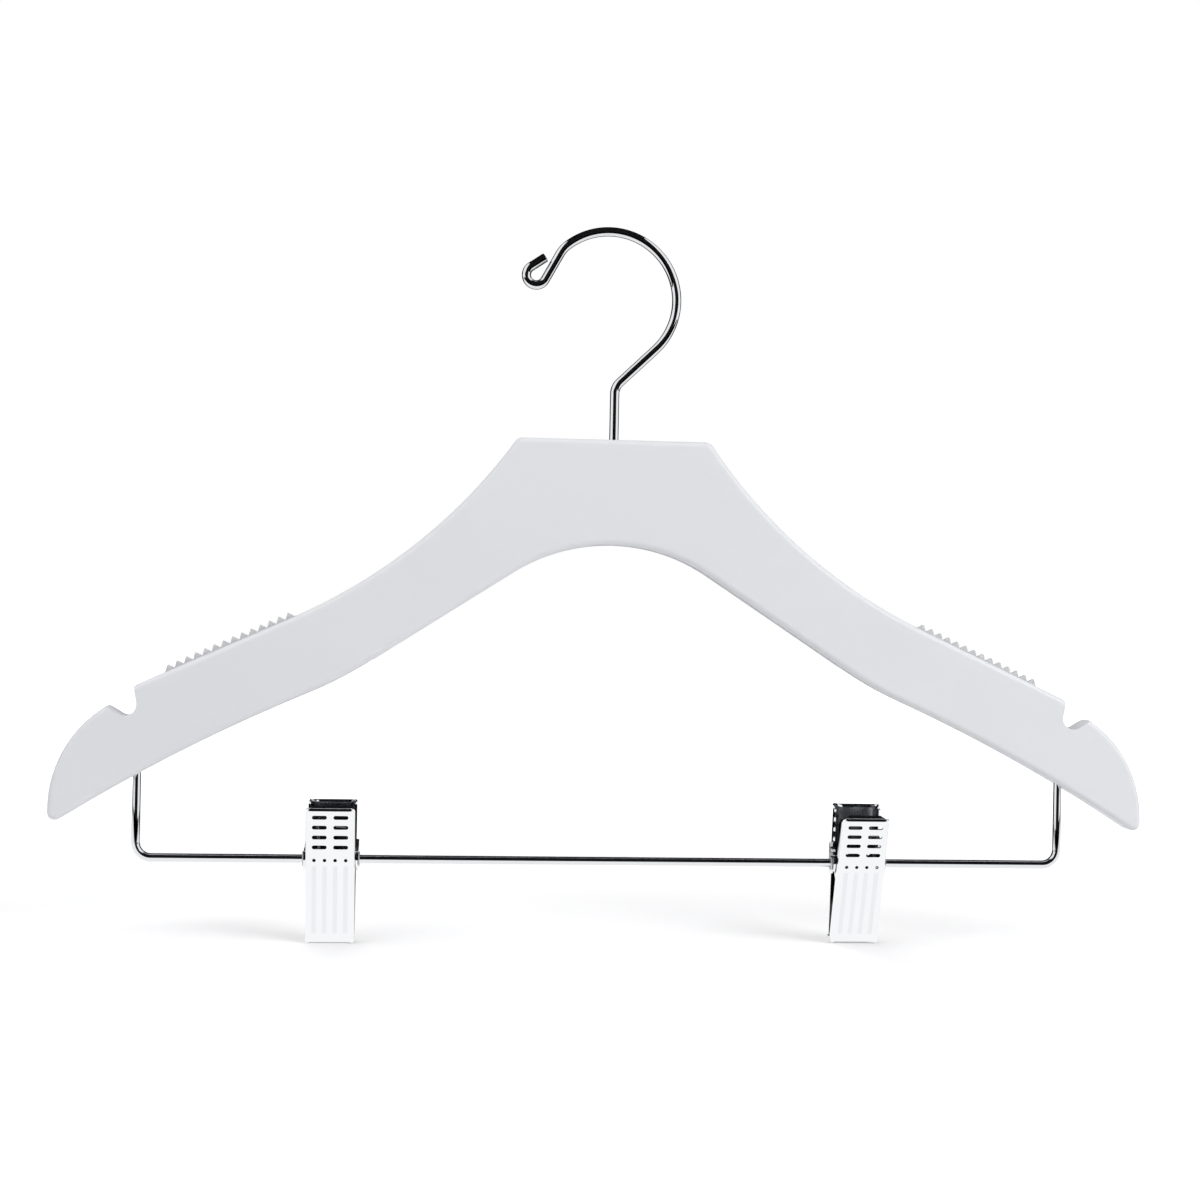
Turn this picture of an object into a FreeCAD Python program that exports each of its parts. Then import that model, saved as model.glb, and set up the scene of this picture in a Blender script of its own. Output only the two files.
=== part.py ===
import FreeCAD
import Part
import Sketcher
import math
import os

# Skirt hanger: a lacquered wooden body in two glued arms, a swivelling wire hook, ribbed grip strips
# on the shoulders, a wire trouser bar below and two sprung metal clips that slide and swing on it.
# The origin is where the rail touches the inside top of the hook; +X right, +Y back, +Z up.

# Driving dimensions, in millimetres and degrees
SIZES = [
    # Hook, from the body's top face to its tip
    ("hook_wire", 3.8),
    ("hook_bend_height", 19.3),
    ("hook_bend_radius", 6.5),
    ("hook_rise_angle", 44.0),
    ("hook_rise_length", 20.0),
    ("hook_bow_radius", 27.9),
    ("hook_nose_drop", 6.3),
    ("hook_nose_radius", 12.0),
    ("hook_run_angle", 61.3),
    ("hook_run_length", 12.5),
    ("hook_curl_radius", 4.05),
    ("hook_tip_angle", 34.3),
    ("hook_tip_length", 7.2),
    ("hook_head_width", 5.8),
    ("hook_head_thickness", 1.6),
    # Swivel bush and washer in the body's bore
    ("bush_width", 7.2),
    ("bush_ridge", 0.3),
    ("bush_length", 21.7),
    ("bush_sink", 0.3),
    ("bush_fit", 0.03),
    ("bush_ridges", 4),
    ("swivel_clearance", 0.08),
    ("swivel_play", 0.25),
    ("washer_clearance", 0.2),
    ("washer_thickness", 0.8),
    ("bore_end_gap", 1.0),
    # Wooden body: outline of one arm, measured from the top face at the middle
    ("half_span", 223.6),
    ("body_thickness", 12.0),
    ("body_depth", 43.0),
    ("edge_round", 2.4),
    ("top_flat", 75.5),
    ("top_corner_round", 3.0),
    ("neck_radius", 221.0),
    ("shoulder_angle", 24.6),
    ("lip_inset", 35.6),
    ("end_depth", 36.2),
    ("lip_round", 12.0),
    ("link_angle", 36.0),
    ("tip_flat", 2.2),
    ("tip_round", 3.0),
    ("tail_radius", 707.0),
    ("knee_span", 98.0),
    ("knee_run", 24.0),
    ("knee_radius", 164.0),
    ("under_angle", 33.0),
    ("arch_radius", 73.0),
    ("finger_depth", 6.0),
    ("finger_land", 4.0),
    # Strap notch: its centre from the lip, and the slopes of its wall and ramp
    ("notch_radius", 4.6),
    ("notch_across", 6.0),
    ("notch_below", 8.7),
    ("notch_wall_lean", 10.0),
    ("notch_ramp_angle", 32.0),
    ("notch_reach", 16.0),
    # Ribbed grip strip and its groove
    ("strip_width", 2.8),
    ("strip_proud", 0.2),
    ("strip_teeth", 14),
    ("strip_pitch", 4.0),
    ("strip_tooth_height", 2.3),
    ("strip_tooth_flat", 0.15),
    ("strip_end_land", 0.8),
    ("strip_lip_gap", 9.2),
    ("groove_depth", 3.0),
    ("groove_cutter_radius", 6.0),
    ("groove_clearance", 0.1),
    ("overrun", 2.0),
    # Trouser bar: one bent wire
    ("bar_wire", 3.3),
    ("bar_drop", 172.4),
    ("bar_bend_radius", 6.2),
    ("bar_inset", 34.2),
    ("bar_seat", 14.0),
    ("bar_end_gap", 1.0),
    ("bar_fit", 0.04),
    # Clip places on the bar, and the lean of each about it
    ("left_clip_span", 111.5),
    ("right_clip_span", 104.9),
    ("left_clip_lean", 5.2),
    ("right_clip_lean", 13.0),
    # Clip jaws: pressed from one gauge of sheet, bent at the level of the bar
    ("jaw_gauge", 0.8),
    ("jaw_width", 19.6),
    ("jaw_round", 1.2),
    ("bend_depth", 8.0),
    ("lever_length", 22.7),
    ("lever_angle", 5.8),
    ("lever_flange", 4.0),
    ("mouth_length", 34.1),
    ("mouth_angle", 7.4),
    ("mouth_flange_gap", 0.55),
    ("corner_relief", 1.8),
    ("jaw_lip_width", 17.8),
    ("lever_lip", 4.0),
    ("mouth_lip", 2.2),
    ("ear_radius", 4.4),
    ("ear_reach", 6.6),
    ("ear_root_angle", 25.0),
    ("ear_gap", 0.25),
    ("pivot_clearance", 0.08),
    # Pressed pattern of a jaw: finger slots, a row of holes and stiffening ribs
    ("slot_rows", 4),
    ("slot_length", 5.9),
    ("slot_height", 1.6),
    ("slot_bridge", 2.6),
    ("slot_pitch", 4.12),
    ("slot_start", 6.6),
    ("hole_count", 4),
    ("hole_width", 1.4),
    ("hole_pitch", 4.2),
    ("hole_level", 1.15),
    ("rib_width", 2.0),
    ("rib_height", 0.4),
    ("rib_start", 1.0),
    ("rib_end", 3.7),
    # Pivot tube on the bar
    ("tube_clearance", 0.09),
    ("tube_wall", 0.45),
    ("tube_flange", 0.8),
    ("tube_flange_gap", 0.15),
    # Torsion spring
    ("spring_wire", 1.3),
    ("spring_turns", 5),
    ("spring_pitch", 1.8),
    ("spring_bore_gap", 0.35),
    ("spring_leg", 16.5),
    ("spring_leg_gap", 0.1),
    ("spring_foot_radius", 1.7),
    ("spring_foot", 2.4),
    # Gripping pads
    ("pad_height", 15.0),
    ("pad_gap", 0.3),
    ("pad_side_gap", 0.15),
    ("pad_bevel", 1.5),
    ("pad_ribs", 5),
    ("pad_rib_depth", 0.5),
]

doc = FreeCAD.newDocument("skirt_hanger")
sheet = doc.addObject("Spreadsheet::Sheet", "Sizes")
for row, (alias, amount) in enumerate(SIZES, start=1):
    sheet.set(f"A{row}", alias)
    sheet.set(f"B{row}", str(amount))
    sheet.setAlias(f"B{row}", alias)
doc.recompute()


def value(expression):
    """The number that an expression on the sheet's sizes gives."""
    return float(sheet.evalExpression(expression))


def size(name):
    """One driving dimension from the sheet."""
    return float(getattr(sheet, name))


def new_body(label):
    """An empty body whose label names its file."""
    body = doc.addObject("PartDesign::Body", label)
    body.Label = label
    return body


def new_sketch(body, name, role, offset=None):
    """A sketch on one of the body's own origin planes, moved by an offset where one is given."""
    sketch = body.newObject("Sketcher::SketchObject", name)
    plane = next(feature for feature in body.Origin.OriginFeatures if feature.Role == role)
    sketch.AttachmentSupport = [(plane, "")]
    sketch.MapMode = "FlatFace"
    if offset is not None:
        sketch.AttachmentOffset = offset
    return sketch


def bind(sketch, constraint, expression):
    """Adds a constraint whose amount follows an expression on the sheet."""
    index = sketch.addConstraint(constraint)
    sketch.setExpression(f"Constraints[{index}]", expression)


def fix_point(sketch, edge, end, across, up):
    """Holds one end of an edge at two expressions from the sketch's origin."""
    bind(sketch, Sketcher.Constraint("DistanceX", -1, 1, edge, end, value(across)), across)
    bind(sketch, Sketcher.Constraint("DistanceY", -1, 1, edge, end, value(up)), up)


def fix_radius(sketch, edge, expression):
    """Holds the radius of an arc or circle at an expression."""
    bind(sketch, Sketcher.Constraint("Radius", edge, value(expression)), expression)


def polygon(sketch, corners):
    """A closed outline of straight edges, each corner held at its two expressions."""
    first = sketch.GeometryCount
    places = [FreeCAD.Vector(value(across), value(up), 0) for across, up in corners]
    count = len(corners)
    for index in range(count):
        sketch.addGeometry(Part.LineSegment(places[index], places[(index + 1) % count]))
    for index in range(count):
        following = first + (index + 1) % count
        sketch.addConstraint(Sketcher.Constraint("Coincident", first + index, 2, following, 1))
    for index, (across, up) in enumerate(corners):
        fix_point(sketch, first + index, 1, across, up)


def circle(sketch, across, up, radius):
    """A circle whose centre and radius follow expressions."""
    centre = FreeCAD.Vector(value(across), value(up), 0)
    edge = sketch.addGeometry(Part.Circle(centre, FreeCAD.Vector(0, 0, 1), value(radius)))
    fix_point(sketch, edge, 3, across, up)
    fix_radius(sketch, edge, radius)


def slot(sketch, first_centre, last_centre, radius):
    """An obround between two centres, each a pair of expressions."""
    start = FreeCAD.Vector(value(first_centre[0]), value(first_centre[1]), 0)
    finish = FreeCAD.Vector(value(last_centre[0]), value(last_centre[1]), 0)
    reach = value(radius)
    heading = math.atan2(finish.y - start.y, finish.x - start.x)
    side = FreeCAD.Vector(-math.sin(heading), math.cos(heading), 0) * reach
    axis = FreeCAD.Vector(0, 0, 1)
    quarter = math.pi / 2
    half = math.pi
    near = sketch.addGeometry(
        Part.ArcOfCircle(Part.Circle(start, axis, reach), heading + quarter, heading + quarter + half)
    )
    low = sketch.addGeometry(Part.LineSegment(start - side, finish - side))
    far = sketch.addGeometry(
        Part.ArcOfCircle(Part.Circle(finish, axis, reach), heading - quarter, heading + quarter)
    )
    high = sketch.addGeometry(Part.LineSegment(finish + side, start + side))
    for before, after in ((near, low), (low, far), (far, high), (high, near)):
        sketch.addConstraint(Sketcher.Constraint("Tangent", before, 2, after, 1))
    fix_point(sketch, near, 3, *first_centre)
    fix_point(sketch, far, 3, *last_centre)
    fix_radius(sketch, near, radius)
    sketch.addConstraint(Sketcher.Constraint("Equal", near, far))


class Trail:
    """A chain of lines and arcs that remembers where it is and which way it heads."""

    def __init__(self, across, up, heading, mirror=1):
        self.place = FreeCAD.Vector(across, up, 0)
        self.heading = math.radians(heading)
        self.mirror = mirror
        self.edges = []

    def flip(self, vector):
        return FreeCAD.Vector(vector.x * self.mirror, vector.y, 0)

    def forward(self, length):
        target = self.place + FreeCAD.Vector(math.cos(self.heading), math.sin(self.heading), 0) * length
        self.straight_to(target)

    def straight_to(self, target):
        geometry = Part.LineSegment(self.flip(self.place), self.flip(target))
        self.edges.append((geometry, 1, 2))
        self.place = target

    def arc(self, radius, turn):
        """An arc through a turn in degrees, positive to the left."""
        sense = 1 if turn > 0 else -1
        quarter = math.pi / 2
        towards = self.heading + sense * quarter
        centre = self.place + FreeCAD.Vector(math.cos(towards), math.sin(towards), 0) * radius
        self.heading += math.radians(turn)
        leaving = self.heading - sense * quarter
        target = centre + FreeCAD.Vector(math.cos(leaving), math.sin(leaving), 0) * radius
        start = self.flip(self.place - centre)
        finish = self.flip(target - centre)
        leftward = sense * self.mirror > 0
        low = start if leftward else finish
        high = finish if leftward else start
        low_angle = math.atan2(low.y, low.x)
        high_angle = math.atan2(high.y, high.x)
        if high_angle < low_angle:
            high_angle += 2 * math.pi
        ring = Part.Circle(self.flip(centre), FreeCAD.Vector(0, 0, 1), radius)
        ends = (1, 2) if leftward else (2, 1)
        self.edges.append((Part.ArcOfCircle(ring, low_angle, high_angle), *ends))
        self.place = target

    def draw(self, sketch, sharp=(), closed=True):
        """Puts the chain in a sketch: joints are tangent, apart from the sharp ones."""
        first = sketch.GeometryCount
        for geometry, _, _ in self.edges:
            sketch.addGeometry(geometry)
        count = len(self.edges)
        joints = count if closed else count - 1
        for index in range(joints):
            following = (index + 1) % count
            kind = "Coincident" if index in sharp else "Tangent"
            sketch.addConstraint(
                Sketcher.Constraint(
                    kind,
                    first + index,
                    self.edges[index][2],
                    first + following,
                    self.edges[following][1],
                )
            )


def pad(body, sketch, name, length, symmetric=True):
    """Material added along the sketch's normal, to both sides unless said otherwise."""
    feature = body.newObject("PartDesign::Pad", name)
    feature.Profile = sketch
    if symmetric:
        feature.SideType = "Symmetric"
    feature.setExpression("Length", length)
    doc.recompute()
    return feature


def pocket(body, sketch, name, length, symmetric=True):
    """Material removed along the sketch's normal; the cut has to take something away."""
    before = body.Tip.Shape.Volume
    feature = body.newObject("PartDesign::Pocket", name)
    feature.Profile = sketch
    if symmetric:
        feature.SideType = "Symmetric"
    feature.setExpression("Length", length)
    doc.recompute()
    if feature.Shape.Volume >= before:
        raise RuntimeError(f"{body.Label}: {name} cuts nothing")
    return feature


def revolve(body, sketch, name, axis):
    """A full turn of a profile about one of the sketch's axes."""
    feature = body.newObject("PartDesign::Revolution", name)
    feature.Profile = sketch
    feature.ReferenceAxis = (sketch, [axis])
    feature.Angle = 360
    doc.recompute()
    return feature


def fillet(body, name, edges, radius):
    """Rounds the chosen edges of the body so far."""
    base = body.Tip
    feature = body.newObject("PartDesign::Fillet", name)
    feature.Base = (base, [f"Edge{number}" for number in edges])
    feature.setExpression("Radius", radius)
    doc.recompute()
    return feature


def wire_sweep(body, path, profile, name):
    """A round wire along a path sketch."""
    feature = body.newObject("PartDesign::AdditivePipe", name)
    feature.Profile = profile
    feature.Spine = (path, [f"Edge{number + 1}" for number in range(path.GeometryCount)])
    doc.recompute()
    return feature


# Centre of the hook's bow, across from its shank and up from the body's top face
BOW_ACROSS = (
    "(Sizes.hook_bend_radius * (1 - sin(Sizes.hook_rise_angle))"
    " + Sizes.hook_rise_length * cos(Sizes.hook_rise_angle)"
    " - Sizes.hook_bow_radius * sin(Sizes.hook_rise_angle))"
)
BOW_UP = (
    "(Sizes.hook_bend_height"
    " + (Sizes.hook_bend_radius + Sizes.hook_bow_radius) * cos(Sizes.hook_rise_angle)"
    " + Sizes.hook_rise_length * sin(Sizes.hook_rise_angle))"
)

# The body's mid-plane and top face in the part's frame
MIDDLE = f"(-{BOW_ACROSS})"
TOP_FACE = f"(-({BOW_UP} + Sizes.hook_bow_radius - Sizes.hook_wire / 2))"


def at_body(body):
    """Places a piece that is drawn from the middle of the body's top face."""
    body.setExpression("Placement.Base.x", MIDDLE)
    body.setExpression("Placement.Base.z", TOP_FACE)


# Hook: shank, bend, rise, bow, nose, run, curl and tip in one plane, with an upset head below
BUSH_END = "(Sizes.bush_sink + Sizes.bush_length)"
HEAD_TOP = f"({BUSH_END} + Sizes.washer_thickness + Sizes.swivel_play)"
HEAD_END = f"({HEAD_TOP} + Sizes.hook_head_thickness)"


def make_hook():
    hook = new_body("hook")
    rise = size("hook_rise_angle")
    nose_fall = size("hook_nose_drop") / size("hook_bow_radius")
    bow_end = 180 + math.degrees(math.acos(1 - nose_fall))
    run = 180 + size("hook_run_angle")

    trail = Trail(0, -value(HEAD_END), 90)
    trail.forward(size("hook_bend_height") + value(HEAD_END))
    trail.arc(size("hook_bend_radius"), rise - 90)
    trail.forward(size("hook_rise_length"))
    trail.arc(size("hook_bow_radius"), bow_end - rise)
    trail.arc(size("hook_nose_radius"), run - bow_end)
    trail.forward(size("hook_run_length"))
    trail.arc(size("hook_curl_radius"), size("hook_tip_angle") - run)
    trail.forward(size("hook_tip_length"))

    path = new_sketch(hook, "HookPath", "XZ_Plane")
    trail.draw(path, closed=False)
    fix_point(path, 0, 1, "0", f"-{HEAD_END}")
    path.addConstraint(Sketcher.Constraint("Vertical", 0))
    bend_height = Sketcher.Constraint("DistanceY", -1, 1, 0, 2, size("hook_bend_height"))
    bind(path, bend_height, "Sizes.hook_bend_height")
    for edge, name in ((1, "bend"), (3, "bow"), (4, "nose"), (6, "curl")):
        fix_radius(path, edge, f"Sizes.hook_{name}_radius")
    nose_up = f"{BOW_UP} + Sizes.hook_bow_radius - Sizes.hook_nose_drop"
    bind(path, Sketcher.Constraint("DistanceY", -1, 1, 3, 2, value(nose_up)), nose_up)
    rise_slope = "Sizes.hook_rise_angle"
    run_slope = "Sizes.hook_run_angle - 180"
    tip_slope = "Sizes.hook_tip_angle"
    for edge, slope in ((2, rise_slope), (5, run_slope), (7, tip_slope)):
        bind(path, Sketcher.Constraint("Angle", edge, math.radians(value(slope))), slope)
    for edge, name in ((2, "rise"), (5, "run"), (7, "tip")):
        length = Sketcher.Constraint("Distance", edge, size(f"hook_{name}_length"))
        bind(path, length, f"Sizes.hook_{name}_length")

    foot = FreeCAD.Placement(FreeCAD.Vector(0, 0, -value(HEAD_END)), FreeCAD.Rotation())
    section = new_sketch(hook, "HookSection", "XY_Plane", foot)
    circle(section, "0", "0", "Sizes.hook_wire / 2")
    wire_sweep(hook, path, section, "HookWire")
    head = new_sketch(hook, "HeadOutline", "XY_Plane", foot)
    circle(head, "0", "0", "Sizes.hook_head_width / 2")
    pad(hook, head, "Head", "Sizes.hook_head_thickness", symmetric=False)
    at_body(hook)
    return hook


# Swivel bush: a ridged nylon sleeve, pressed into the bore, that the shank turns in
def make_hook_bush():
    bush = new_body("hook_bush")
    inner = "(Sizes.hook_wire / 2 + Sizes.swivel_clearance)"
    outer = "(Sizes.bush_width / 2)"
    core = "(Sizes.bush_width / 2 - Sizes.bush_ridge)"
    ridge_count = int(size("bush_ridges"))
    step = f"(Sizes.bush_length / {2 * ridge_count})"
    corners = [(inner, "-Sizes.bush_sink"), (outer, "-Sizes.bush_sink")]
    for ridge in range(ridge_count):
        upper = f"-(Sizes.bush_sink + {2 * ridge + 1} * {step})"
        lower = f"-(Sizes.bush_sink + {2 * ridge + 2} * {step})"
        corners.append((outer, upper))
        corners.append((core, upper))
        corners.append((outer if ridge + 1 < ridge_count else core, lower))
    corners.append((inner, f"-{BUSH_END}"))
    profile = new_sketch(bush, "BushProfile", "XZ_Plane")
    polygon(profile, corners)
    revolve(bush, profile, "BushTurned", "V_Axis")
    at_body(bush)
    return bush


# Washer between the bush and the hook's head: it carries the hanging load
def make_hook_washer():
    blank = doc.addObject("Part::Cylinder", "WasherBlank")
    blank.setExpression("Radius", "Sizes.bush_width / 2 - Sizes.washer_clearance")
    blank.setExpression("Height", "Sizes.washer_thickness")
    hole = doc.addObject("Part::Cylinder", "WasherHole")
    hole.setExpression("Radius", "Sizes.hook_wire / 2 + Sizes.swivel_clearance")
    hole.setExpression("Height", "Sizes.washer_thickness")
    washer = doc.addObject("Part::Cut", "hook_washer")
    washer.Label = "hook_washer"
    washer.Base = blank
    washer.Tool = hole
    washer.setExpression("Placement.Base.x", MIDDLE)
    washer.setExpression("Placement.Base.z", f"{TOP_FACE} - {BUSH_END} - Sizes.washer_thickness")
    doc.recompute()
    return washer


# Outline of an arm, worked out once: the joints between its arcs and lines
WAIST_SPAN = "(Sizes.knee_span + Sizes.knee_run)"
LIP_ACROSS = "(Sizes.half_span - Sizes.lip_inset)"


class ArmOutline:
    def __init__(self):
        slope = math.radians(size("shoulder_angle"))
        self.down_slope = FreeCAD.Vector(math.cos(slope), -math.sin(slope), 0)
        self.off_slope = FreeCAD.Vector(math.sin(slope), math.cos(slope), 0)

        # The lower edge: arch, straight run, knee and tail
        under = math.radians(size("under_angle"))
        arch_radius = size("arch_radius")
        arch_end_across = arch_radius * math.sin(under)
        arch_end_up = -size("body_depth") - arch_radius * (1 - math.cos(under))
        self.under_length = (size("knee_span") - arch_end_across) / math.cos(under)
        knee_start_up = arch_end_up - self.under_length * math.sin(under)
        knee_radius = size("knee_radius")
        waist = math.asin(math.sin(under) - size("knee_run") / knee_radius)
        self.waist_angle = math.degrees(waist)
        waist_up = knee_start_up - knee_radius * (math.cos(waist) - math.cos(under))
        self.tail_radius = size("tail_radius")
        self.tail_centre = FreeCAD.Vector(
            value(WAIST_SPAN) - self.tail_radius * math.sin(waist),
            waist_up - self.tail_radius * math.cos(waist),
            0,
        )

        # The lip stands above the tail, and the neck arc joins its shoulder to the top corner's round
        lip_across = value(LIP_ACROSS)
        self.lip = FreeCAD.Vector(lip_across, self.lower_edge(lip_across) + size("end_depth"), 0)
        corner = FreeCAD.Vector(size("top_flat") / 2, -size("top_corner_round"), 0)
        neck_radius = size("neck_radius")
        away = corner - self.lip
        along = -away.dot(self.down_slope)
        above = away.dot(self.off_slope)
        reach = neck_radius + size("top_corner_round")
        self.shoulder_length = along - math.sqrt(reach**2 - (above - neck_radius) ** 2)
        shoulder_top = self.lip - self.down_slope * self.shoulder_length
        neck = shoulder_top + self.off_slope * neck_radius
        outward = neck - corner
        self.corner_turn = 90 - math.degrees(math.atan2(outward.y, outward.x))

        # The tip is rounded between the tail and the upright end
        tip_across = size("half_span") - size("tip_round")
        reach = self.tail_radius + size("tip_round")
        sideways = tip_across - self.tail_centre.x
        tip_up = self.tail_centre.y + math.sqrt(reach**2 - sideways**2)
        self.tip_angle = math.degrees(math.asin(sideways / reach))

        # The link leaves the round of the lip, and the end arc turns it upright above the tip
        link = math.radians(size("link_angle"))
        lip_centre = self.lip - self.off_slope * size("lip_round")
        link_start = lip_centre + FreeCAD.Vector(math.sin(link), math.cos(link), 0) * size("lip_round")
        run = size("half_span") - link_start.x
        corner_up = link_start.y - run * math.tan(link)
        to_corner = corner_up - tip_up - size("tip_flat")
        self.end_turn = 90 - size("link_angle")
        self.end_radius = to_corner / math.tan(math.radians(self.end_turn / 2))
        self.link_length = run / math.cos(link) - to_corner

    def lower_edge(self, across):
        """Height of the tail, below the top face, at a distance from the middle."""
        return self.tail_centre.y + math.sqrt(self.tail_radius**2 - (across - self.tail_centre.x) ** 2)


OUTLINE = ArmOutline()
LIP_UP = f"({OUTLINE.lip.y})"
LEG_ACROSS = "(Sizes.half_span - Sizes.bar_inset)"
LEG_TOP = OUTLINE.lower_edge(value(LEG_ACROSS)) + size("bar_seat")
STRIP_LENGTH = "(Sizes.strip_teeth * Sizes.strip_pitch + 2 * Sizes.strip_end_land)"
BAR_HEIGHT = f"({TOP_FACE} - Sizes.bar_drop)"

# The finger joint's zigzag: how far along the joint, and how far across, each turn lies
FINGER_SHARES = [(0, 0), (0.125, 1), (0.375, -1), (0.625, 1), (0.875, -1), (1, 0)]


# Arms: left and right, glued at a finger joint in the middle
def make_arm(label, side):
    arm = new_body(label)
    trail = Trail(0, 0, 0, mirror=side)
    trail.forward(size("top_flat") / 2)
    trail.arc(size("top_corner_round"), -OUTLINE.corner_turn)
    trail.arc(size("neck_radius"), OUTLINE.corner_turn - size("shoulder_angle"))
    trail.forward(OUTLINE.shoulder_length)
    trail.arc(size("lip_round"), size("shoulder_angle") - size("link_angle"))
    trail.forward(OUTLINE.link_length)
    trail.arc(OUTLINE.end_radius, -OUTLINE.end_turn)
    trail.forward(size("tip_flat"))
    trail.arc(size("tip_round"), -90 - OUTLINE.tip_angle)
    trail.arc(OUTLINE.tail_radius, OUTLINE.tip_angle - OUTLINE.waist_angle)
    trail.arc(size("knee_radius"), OUTLINE.waist_angle - size("under_angle"))
    trail.forward(OUTLINE.under_length)
    trail.arc(size("arch_radius"), size("under_angle"))
    outer_edges = len(trail.edges)
    land = "Sizes.finger_land"
    fingers = f"(Sizes.body_depth - 2 * {land})"
    turns = []
    for along_share, across_share in FINGER_SHARES:
        across = f"{across_share} * Sizes.finger_depth / 2"
        turns.append((across, f"{along_share} * {fingers} + {land} - Sizes.body_depth"))
    for across, up in turns:
        trail.straight_to(FreeCAD.Vector(side * value(across), value(up), 0))
    trail.straight_to(FreeCAD.Vector(0, 0, 0))

    outline = new_sketch(arm, "ArmOutline", "XZ_Plane")
    joint_edges = range(outer_edges - 1, len(trail.edges))
    trail.draw(outline, sharp=joint_edges)
    fix_point(outline, 0, 1, "0", "0")
    outline.addConstraint(Sketcher.Constraint("Horizontal", 0))
    flat_end = Sketcher.Constraint("DistanceX", -1, 1, 0, 2, side * size("top_flat") / 2)
    bind(outline, flat_end, f"{side} * Sizes.top_flat / 2")
    for edge, name in ((1, "top_corner_round"), (2, "neck_radius"), (4, "lip_round"), (8, "tip_round")):
        fix_radius(outline, edge, f"Sizes.{name}")
    for edge, name in ((9, "tail_radius"), (10, "knee_radius"), (12, "arch_radius")):
        fix_radius(outline, edge, f"Sizes.{name}")
    link = "-Sizes.link_angle" if side > 0 else "Sizes.link_angle - 180"
    bind(outline, Sketcher.Constraint("Angle", 5, math.radians(value(link))), link)
    slope = "-Sizes.shoulder_angle" if side > 0 else "Sizes.shoulder_angle - 180"
    bind(outline, Sketcher.Constraint("Angle", 3, math.radians(value(slope))), slope)
    fix_point(outline, 3, 2, f"{side} * {LIP_ACROSS}", LIP_UP)
    outline.addConstraint(Sketcher.Constraint("Vertical", 7))
    end = Sketcher.Constraint("DistanceX", -1, 1, 7, 1, side * size("half_span"))
    bind(outline, end, f"{side} * Sizes.half_span")
    bind(outline, Sketcher.Constraint("Distance", 7, size("tip_flat")), "Sizes.tip_flat")
    waist_end = trail.edges[10][1]
    knee_end = trail.edges[10][2]
    for corner, span in ((waist_end, WAIST_SPAN), (knee_end, "Sizes.knee_span")):
        place = Sketcher.Constraint("DistanceX", -1, 1, 10, corner, side * value(span))
        bind(outline, place, f"{side} * {span}")
    rise = "180 - Sizes.under_angle" if side > 0 else "Sizes.under_angle"
    bind(outline, Sketcher.Constraint("Angle", 11, math.radians(value(rise))), rise)
    for index, (across, up) in enumerate(turns):
        fix_point(outline, outer_edges + index, 2, across, up)
    arch_end = trail.edges[12][2]
    fix_point(outline, 12, arch_end, "0", "-Sizes.body_depth")
    pad(arm, outline, "ArmBlank", "Sizes.body_thickness")

    # Both rims of the outline are rounded, apart from the glued joint
    face = size("body_thickness") / 2
    joint_reach = size("finger_depth") / 2
    slack = size("finger_land") / 1000
    rims = []
    for number, edge in enumerate(arm.Tip.Shape.Edges, start=1):
        middle = edge.valueAt((edge.FirstParameter + edge.LastParameter) / 2)
        ends = [vertex.Point for vertex in edge.Vertexes]
        on_face = all(abs(abs(point.y) - face) < slack for point in [middle] + ends)
        if on_face and abs(middle.x) > joint_reach + slack:
            rims.append(number)
    fillet(arm, "RoundedRims", rims, "Sizes.edge_round")

    # Strap notch
    notch_across = f"({LIP_ACROSS} + Sizes.notch_across)"
    notch_up = f"({LIP_UP} - Sizes.notch_below)"
    wall = math.radians(-90 - size("notch_wall_lean"))
    start = FreeCAD.Vector(value(notch_across), value(notch_up), 0)
    start += FreeCAD.Vector(math.sin(wall), -math.cos(wall), 0) * size("notch_radius")
    start -= FreeCAD.Vector(math.cos(wall), math.sin(wall), 0) * size("notch_reach")
    trail = Trail(start.x, start.y, math.degrees(wall), mirror=side)
    trail.forward(size("notch_reach"))
    trail.arc(size("notch_radius"), size("notch_ramp_angle") - math.degrees(wall))
    trail.forward(size("notch_reach"))
    trail.straight_to(start)
    notch = new_sketch(arm, "NotchOutline", "XZ_Plane")
    trail.draw(notch, sharp=(2, 3))
    fix_radius(notch, 1, "Sizes.notch_radius")
    fix_point(notch, 1, 3, f"{side} * {notch_across}", notch_up)
    if side > 0:
        wall_slope = "-90 - Sizes.notch_wall_lean"
        ramp_slope = "Sizes.notch_ramp_angle"
    else:
        wall_slope = "-90 + Sizes.notch_wall_lean"
        ramp_slope = "180 - Sizes.notch_ramp_angle"
    bind(notch, Sketcher.Constraint("Angle", 0, math.radians(value(wall_slope))), wall_slope)
    bind(notch, Sketcher.Constraint("Angle", 2, math.radians(value(ramp_slope))), ramp_slope)
    for edge in (0, 2):
        bind(notch, Sketcher.Constraint("Distance", edge, size("notch_reach")), "Sizes.notch_reach")
    pocket(arm, notch, "StrapNotch", "Sizes.body_thickness + Sizes.overrun")

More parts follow.
